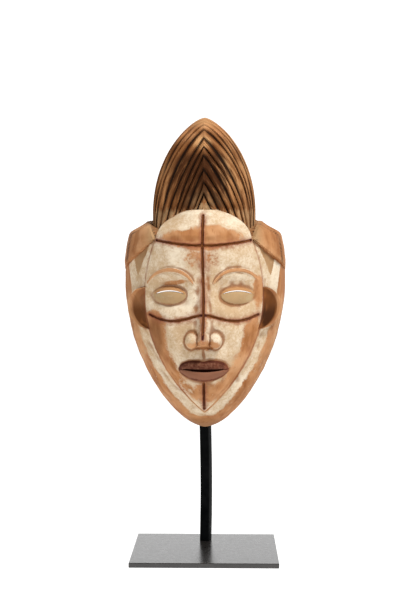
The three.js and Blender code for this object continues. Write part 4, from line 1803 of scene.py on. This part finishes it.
        # Wear lightens the lips, and the upper lip is held darker, which is painted shade.
        lip_wear_and_shade = self.flake * 0.7 + self.speckle * 0.5 + zones[Zone.EDGE] * 0.3 - zones[Zone.UPPER] * 0.28
        lip = self.blend(lip_wear_and_shade.ramp(0.5, 0.84), f.lip, f.lip_worn)
        lip = self.blend(self.blotch.ramp(0.5, 0.62) * 0.5, lip, f.stain_worn)
        colour = self.blend(zones[Zone.LIP], colour, lip)
        return self.blend(zones[Zone.INSIDE], colour, f.inside)


@dataclass(frozen=True)
class BlackSteelFinish:
    """Satin black steel."""

    name: str = "black_steel_bar"
    colour: Colour = srgb(5, 6, 7)
    roughness: float = 0.45
    reflection: float = 0.02
    coat: float = 0.0
    coat_roughness: float = 0.25

    def make(self) -> bpy.types.Material:
        """Build the material.

        Returns:
            The material.
        """
        shader = Shader(self.name)
        cloudy = shader.noise(60.0, 6.0, roughness=0.65).ramp(0.35, 0.75)
        dusty = tuple(min(1.0, value * 1.5 + 0.003) for value in self.colour[:3]) + (1.0,)
        uneven = shader.noise(300.0, 4.0).ramp(0.3, 0.7)
        span = {"Value": uneven, "To Min": self.roughness - 0.04, "To Max": self.roughness + 0.05}
        surface = {
            "Base Color": shader.blend(cloudy, self.colour, dusty),
            "Roughness": shader.add("ShaderNodeMapRange", span).outputs["Result"],
            "Specular IOR Level": self.reflection,
            "Coat Weight": self.coat,
            "Coat Roughness": self.coat_roughness,
        }
        shader.feed(shader.principled, surface)
        shader.bump(shader.noise(900.0, 3.0), 0.12, 0.0002)
        return shader.material


@dataclass(frozen=True)
class StandSizes:
    """The stand's measures in millimetres, the same as those of its solids."""

    plate_width: float = 150.0
    plate_depth: float = 120.0
    plate_thickness: float = 5.0
    plate_corner: float = 0.8
    plate_edge_break: float = 0.5
    plate_edge_round: float = 0.15
    bar_width: float = 10.0
    bar_depth: float = 10.0
    bar_back_margin: float = 22.0
    bar_side_bow: float = 0.9
    bar_corner: float = 0.6
    bar_steps: int = 60
    gap: float = 0.3


class SweptBar(NodeWriter):
    """A geometry node tree that sweeps a rounded rectangle along the edges of a path."""

    def __init__(self, sizes: dict[str, float], material: bpy.types.Material) -> None:
        """Write the tree, with the sizes as its named inputs.

        Args:
            sizes: The inputs' values by name, in metres.
            material: The bar's finish.
        """
        super().__init__(bpy.data.node_groups.new("swept_bar", "GeometryNodeTree"))
        self.sizes = sizes
        sockets = self.tree.interface
        for way in ("INPUT", "OUTPUT"):
            sockets.new_socket("Geometry", in_out=way, socket_type="NodeSocketGeometry")
        for name, value in sizes.items():
            made = sockets.new_socket(name, in_out="INPUT", socket_type="NodeSocketFloat")
            made.default_value = value
        entry = self.add("NodeGroupInput", {}).outputs
        sides = {"Width": entry["Width"], "Height": entry["Depth"]}
        square = self.add("GeometryNodeCurvePrimitiveQuadrilateral", sides, mode="RECTANGLE")
        rounding = {"Curve": square.outputs["Curve"], "Count": 3, "Radius": entry["Corner"]}
        section = self.add("GeometryNodeFilletCurve", rounding, mode="POLY")
        path = self.add("GeometryNodeMeshToCurve", {"Mesh": entry["Geometry"]})
        upright = self.add("GeometryNodeSetCurveNormal", {"Curve": path.outputs["Curve"]})
        run = {"Curve": upright.outputs["Curve"], "Profile Curve": section.outputs["Curve"]}
        sweep = self.add("GeometryNodeCurveToMesh", run | {"Fill Caps": True})
        whole = self.add("GeometryNodeRealizeInstances", {"Geometry": sweep.outputs["Mesh"]})
        dressed = {"Geometry": whole.outputs["Geometry"], "Material": material}
        dress = self.add("GeometryNodeSetMaterial", dressed)
        self.add("NodeGroupOutput", {"Geometry": dress.outputs["Geometry"]})

    def attach(self, holder: Object) -> None:
        """Put the tree on an object and set its sizes by their identifiers.

        Args:
            holder: The object that holds the path.
        """
        step = holder.modifiers.new(self.tree.name, "NODES")
        step.node_group = self.tree
        for item in self.tree.interface.items_tree:
            if item.item_type == "SOCKET" and item.name in self.sizes:
                step[item.identifier] = self.sizes[item.name]


class Stand:
    """The bent square bar and the plate that it stands on."""

    def __init__(self, sizes: StandSizes, form: MaskForm) -> None:
        """Keep the sizes and the mask that the bar carries, and choose the steel's two finishes.

        Args:
            sizes: The stand's measures.
            form: The form of the mask that it carries.
        """
        self.sizes = sizes
        self.form = form
        self.bar_finish = BlackSteelFinish()
        brown_black = srgb(30, 27, 25)
        self.plate_finish = BlackSteelFinish("black_steel_plate", brown_black, 0.3, reflection=0.25, coat=1.0)

    def _bar_line(self) -> Array:
        """Give the bar's middle line from the plate to just under the hollow's ceiling.

        Returns:
            One row of x, y and z per point, in metres.
        """
        s, m = self.sizes, self.form.sizes
        low, high = (corner[2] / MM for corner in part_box("stand_bar"))
        z = np.linspace(low - s.gap, high, s.bar_steps + 1)
        foot = s.plate_depth / 2.0 - s.bar_back_margin - s.bar_depth / 2.0
        rest = m.rim_plane + s.gap + s.bar_depth / 2.0
        entry = m.lift + m.chin_wall + 1.2 * s.bar_width
        lean = smooth((z - s.plate_thickness) / (m.lift - s.plate_thickness))
        inside = np.maximum(0.0, z - entry)
        bow = s.bar_side_bow * np.sin(math.pi * z / m.lift) * smooth((entry - z) / 30.0)
        y = mix(foot, rest, lean) - 0.3 * inside + 3.0 * (1.0 - np.exp(-inside / 10.0))
        return np.stack([bow, y, z], axis=-1) * MM

    def bar(self) -> Object:
        """Sweep the bar's square section along its line.

        Returns:
            The bar.
        """
        s = self.sizes
        line = self._bar_line()
        path = bpy.data.meshes.new("bar_path")
        path.from_pydata([tuple(point) for point in line], [(i, i + 1) for i in range(len(line) - 1)], [])
        holder = linked("bar_path", path)
        sizes = {"Width": s.bar_width * MM, "Depth": s.bar_depth * MM, "Corner": s.bar_corner * MM}
        SweptBar(sizes, self.bar_finish.make()).attach(holder)
        return shaded(applied(holder, "steel_bar"), 30.0)

    def plate(self) -> Object:
        """Build the plate with lightly broken edges.

        Returns:
            The plate.
        """
        s = self.sizes
        centre = np.array([s.plate_width, s.plate_depth]) / 2.0 - s.plate_corner
        edge, soft = s.plate_edge_break, s.plate_edge_round
        lower = [(0.0, edge), (soft, soft), (edge, 0.0)]
        rings = []
        for z, inset in lower + [(s.plate_thickness - z, inset) for z, inset in reversed(lower)]:
            ring = []
            for quarter, sign in enumerate(((1.0, 1.0), (-1.0, 1.0), (-1.0, -1.0), (1.0, -1.0))):
                for turn in math.pi / 2.0 * quarter + np.linspace(0.0, math.pi / 2.0, 5):
                    out = (s.plate_corner - inset) * np.array([math.cos(turn), math.sin(turn)])
                    ring.append([*(np.array(sign) * centre + out), z])
            rings.append(ring)
        made = Skin.stack(np.array(rings)).solid("steel_plate", lambda points: points * MM)
        made.data.materials.append(self.plate_finish.make())
        return shaded(made, 12.0)


@dataclass(frozen=True)
class CameraView:
    """The photograph's point of view."""

    lens: float = 63.62
    sensor_height: float = 36.0
    reach: float = 50.0
    distance: float = 1.117
    height: float = 0.2955
    pitch: float = 1.75
    azimuth: float = 1.1

    def make(self) -> None:
        """Set up the camera."""
        data = bpy.data.cameras.new("camera")
        data.lens = self.lens
        data.sensor_fit = "VERTICAL"
        data.sensor_height = self.sensor_height
        data.clip_end = self.reach
        camera = linked("camera", data)
        turn = math.radians(self.azimuth)
        camera.location = (self.distance * math.sin(turn), -self.distance * math.cos(turn), self.height)
        camera.rotation_euler = (math.radians(90.0 - self.pitch), 0.0, turn)
        bpy.context.scene.camera = camera


@dataclass(frozen=True)
class Lamp:
    """One square soft light."""

    name: str
    place: tuple[float, float, float]
    towards: tuple[float, float, float]
    size: float
    power: float

    def hang(self) -> None:
        """Put the light in the scene."""
        data = bpy.data.lights.new(self.name, "AREA")
        data.shape = "SQUARE"
        data.size = self.size
        data.energy = self.power
        lamp = linked(self.name, data)
        lamp.location = self.place
        way = Vector(self.towards) - Vector(self.place)
        lamp.rotation_euler = way.to_track_quat("-Z", "Y").to_euler()


@dataclass(frozen=True)
class Studio:
    """A white studio with soft light."""

    white: Colour = (1.0, 1.0, 1.0, 1.0)
    floor_half: float = 4.0
    floor_grey: Colour = (0.5, 0.5, 0.5, 1.0)
    floor_glow: float = 0.9
    floor_roughness: float = 0.7
    behind: float = 1.25
    ahead: float = 0.22
    overhead: float = 0.18
    lamps: tuple[Lamp, ...] = (
        Lamp("key", (0.55, -0.9, 1.6), (0.0, 0.0, 0.3), 0.4, 31.0),
        Lamp("fill", (-1.2, -0.8, 0.9), (0.0, 0.0, 0.28), 0.8, 3.0),
        Lamp("top", (0.15, 0.1, 1.5), (0.0, -0.02, 0.3), 0.8, 1.0),
    )

    def make(self) -> None:
        """Set up the world, the floor and the lights."""
        scene = bpy.context.scene
        scene.view_settings.view_transform = "Standard"
        world = bpy.data.worlds.new("studio")
        world.use_nodes = True
        sky = NodeWriter(world.node_tree)
        place = sky.add("ShaderNodeTexCoord", {}).outputs["Generated"]
        split = sky.add("ShaderNodeSeparateXYZ", {"Vector": place}).outputs
        level = self._fade(sky, split["Z"], (0.29, 0.59), (1.0, self.overhead))
        depth = self._fade(sky, split["Y"], (-0.2, 0.6), (self.ahead, self.behind))
        light = {"Color": self.white, "Strength": level * depth}
        sky.feed(world.node_tree.nodes["Background"], light)
        scene.world = world
        self._floor()
        for lamp in self.lamps:
            lamp.hang()

    @staticmethod
    def _fade(
        sky: NodeWriter, value: Socket, span: tuple[float, float], levels: tuple[float, float]
    ) -> Level:
        """Turn one part of the sky's direction into a brightness.

        Args:
            sky: The writer of the world's nodes.
            value: The part of the direction.
            span: Where the change starts and ends.
            levels: The brightness before and after it.

        Returns:
            The brightness.
        """
        inputs = {"Value": value, "From Min": span[0], "From Max": span[1]}
        inputs |= {"To Min": levels[0], "To Max": levels[1]}
        return Level(sky, sky.add("ShaderNodeMapRange", inputs).outputs["Result"])

    def _floor(self) -> None:
        """Lay the pale floor."""
        half = self.floor_half
        corners = [(-half, -half, 0.0), (half, -half, 0.0), (half, half, 0.0), (-half, half, 0.0)]
        floor = object_from("floor", np.array(corners), np.array([[0, 1, 2, 3]]))
        shader = Shader("floor_white")
        surface = {"Base Color": self.floor_grey, "Roughness": self.floor_roughness}
        surface |= {"Emission Color": self.white, "Emission Strength": self.floor_glow}
        shader.feed(shader.principled, surface)
        floor.data.materials.append(shader.material)


def main() -> None:
    """Build the object's looks on the frame, then the camera and the studio."""
    logging.basicConfig(level=logging.INFO, format="%(name)s: %(message)s")
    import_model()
    form = MaskForm(MaskSizes())
    mask = MaskCarver(form, WearPattern()).build()
    mask.data.materials.clear()
    mask.data.materials.append(WoodPainter(CarvedWoodFinish()).make())
    stand = Stand(StandSizes(), form)
    bar, plate = stand.bar(), stand.plate()
    for piece, node, slot in (
        (mask, "mask", "carved_wood"),
        (bar, "stand_bar", "black_steel"),
        (plate, "base_plate", "black_steel"),
    ):
        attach(piece, "root")
        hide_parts(node)
        LOG.info("%s stands in for %s and has %d faces", piece.name, node, len(piece.data.polygons))
    CameraView().make()
    Studio().make()


if __name__ == "__main__":
    main()
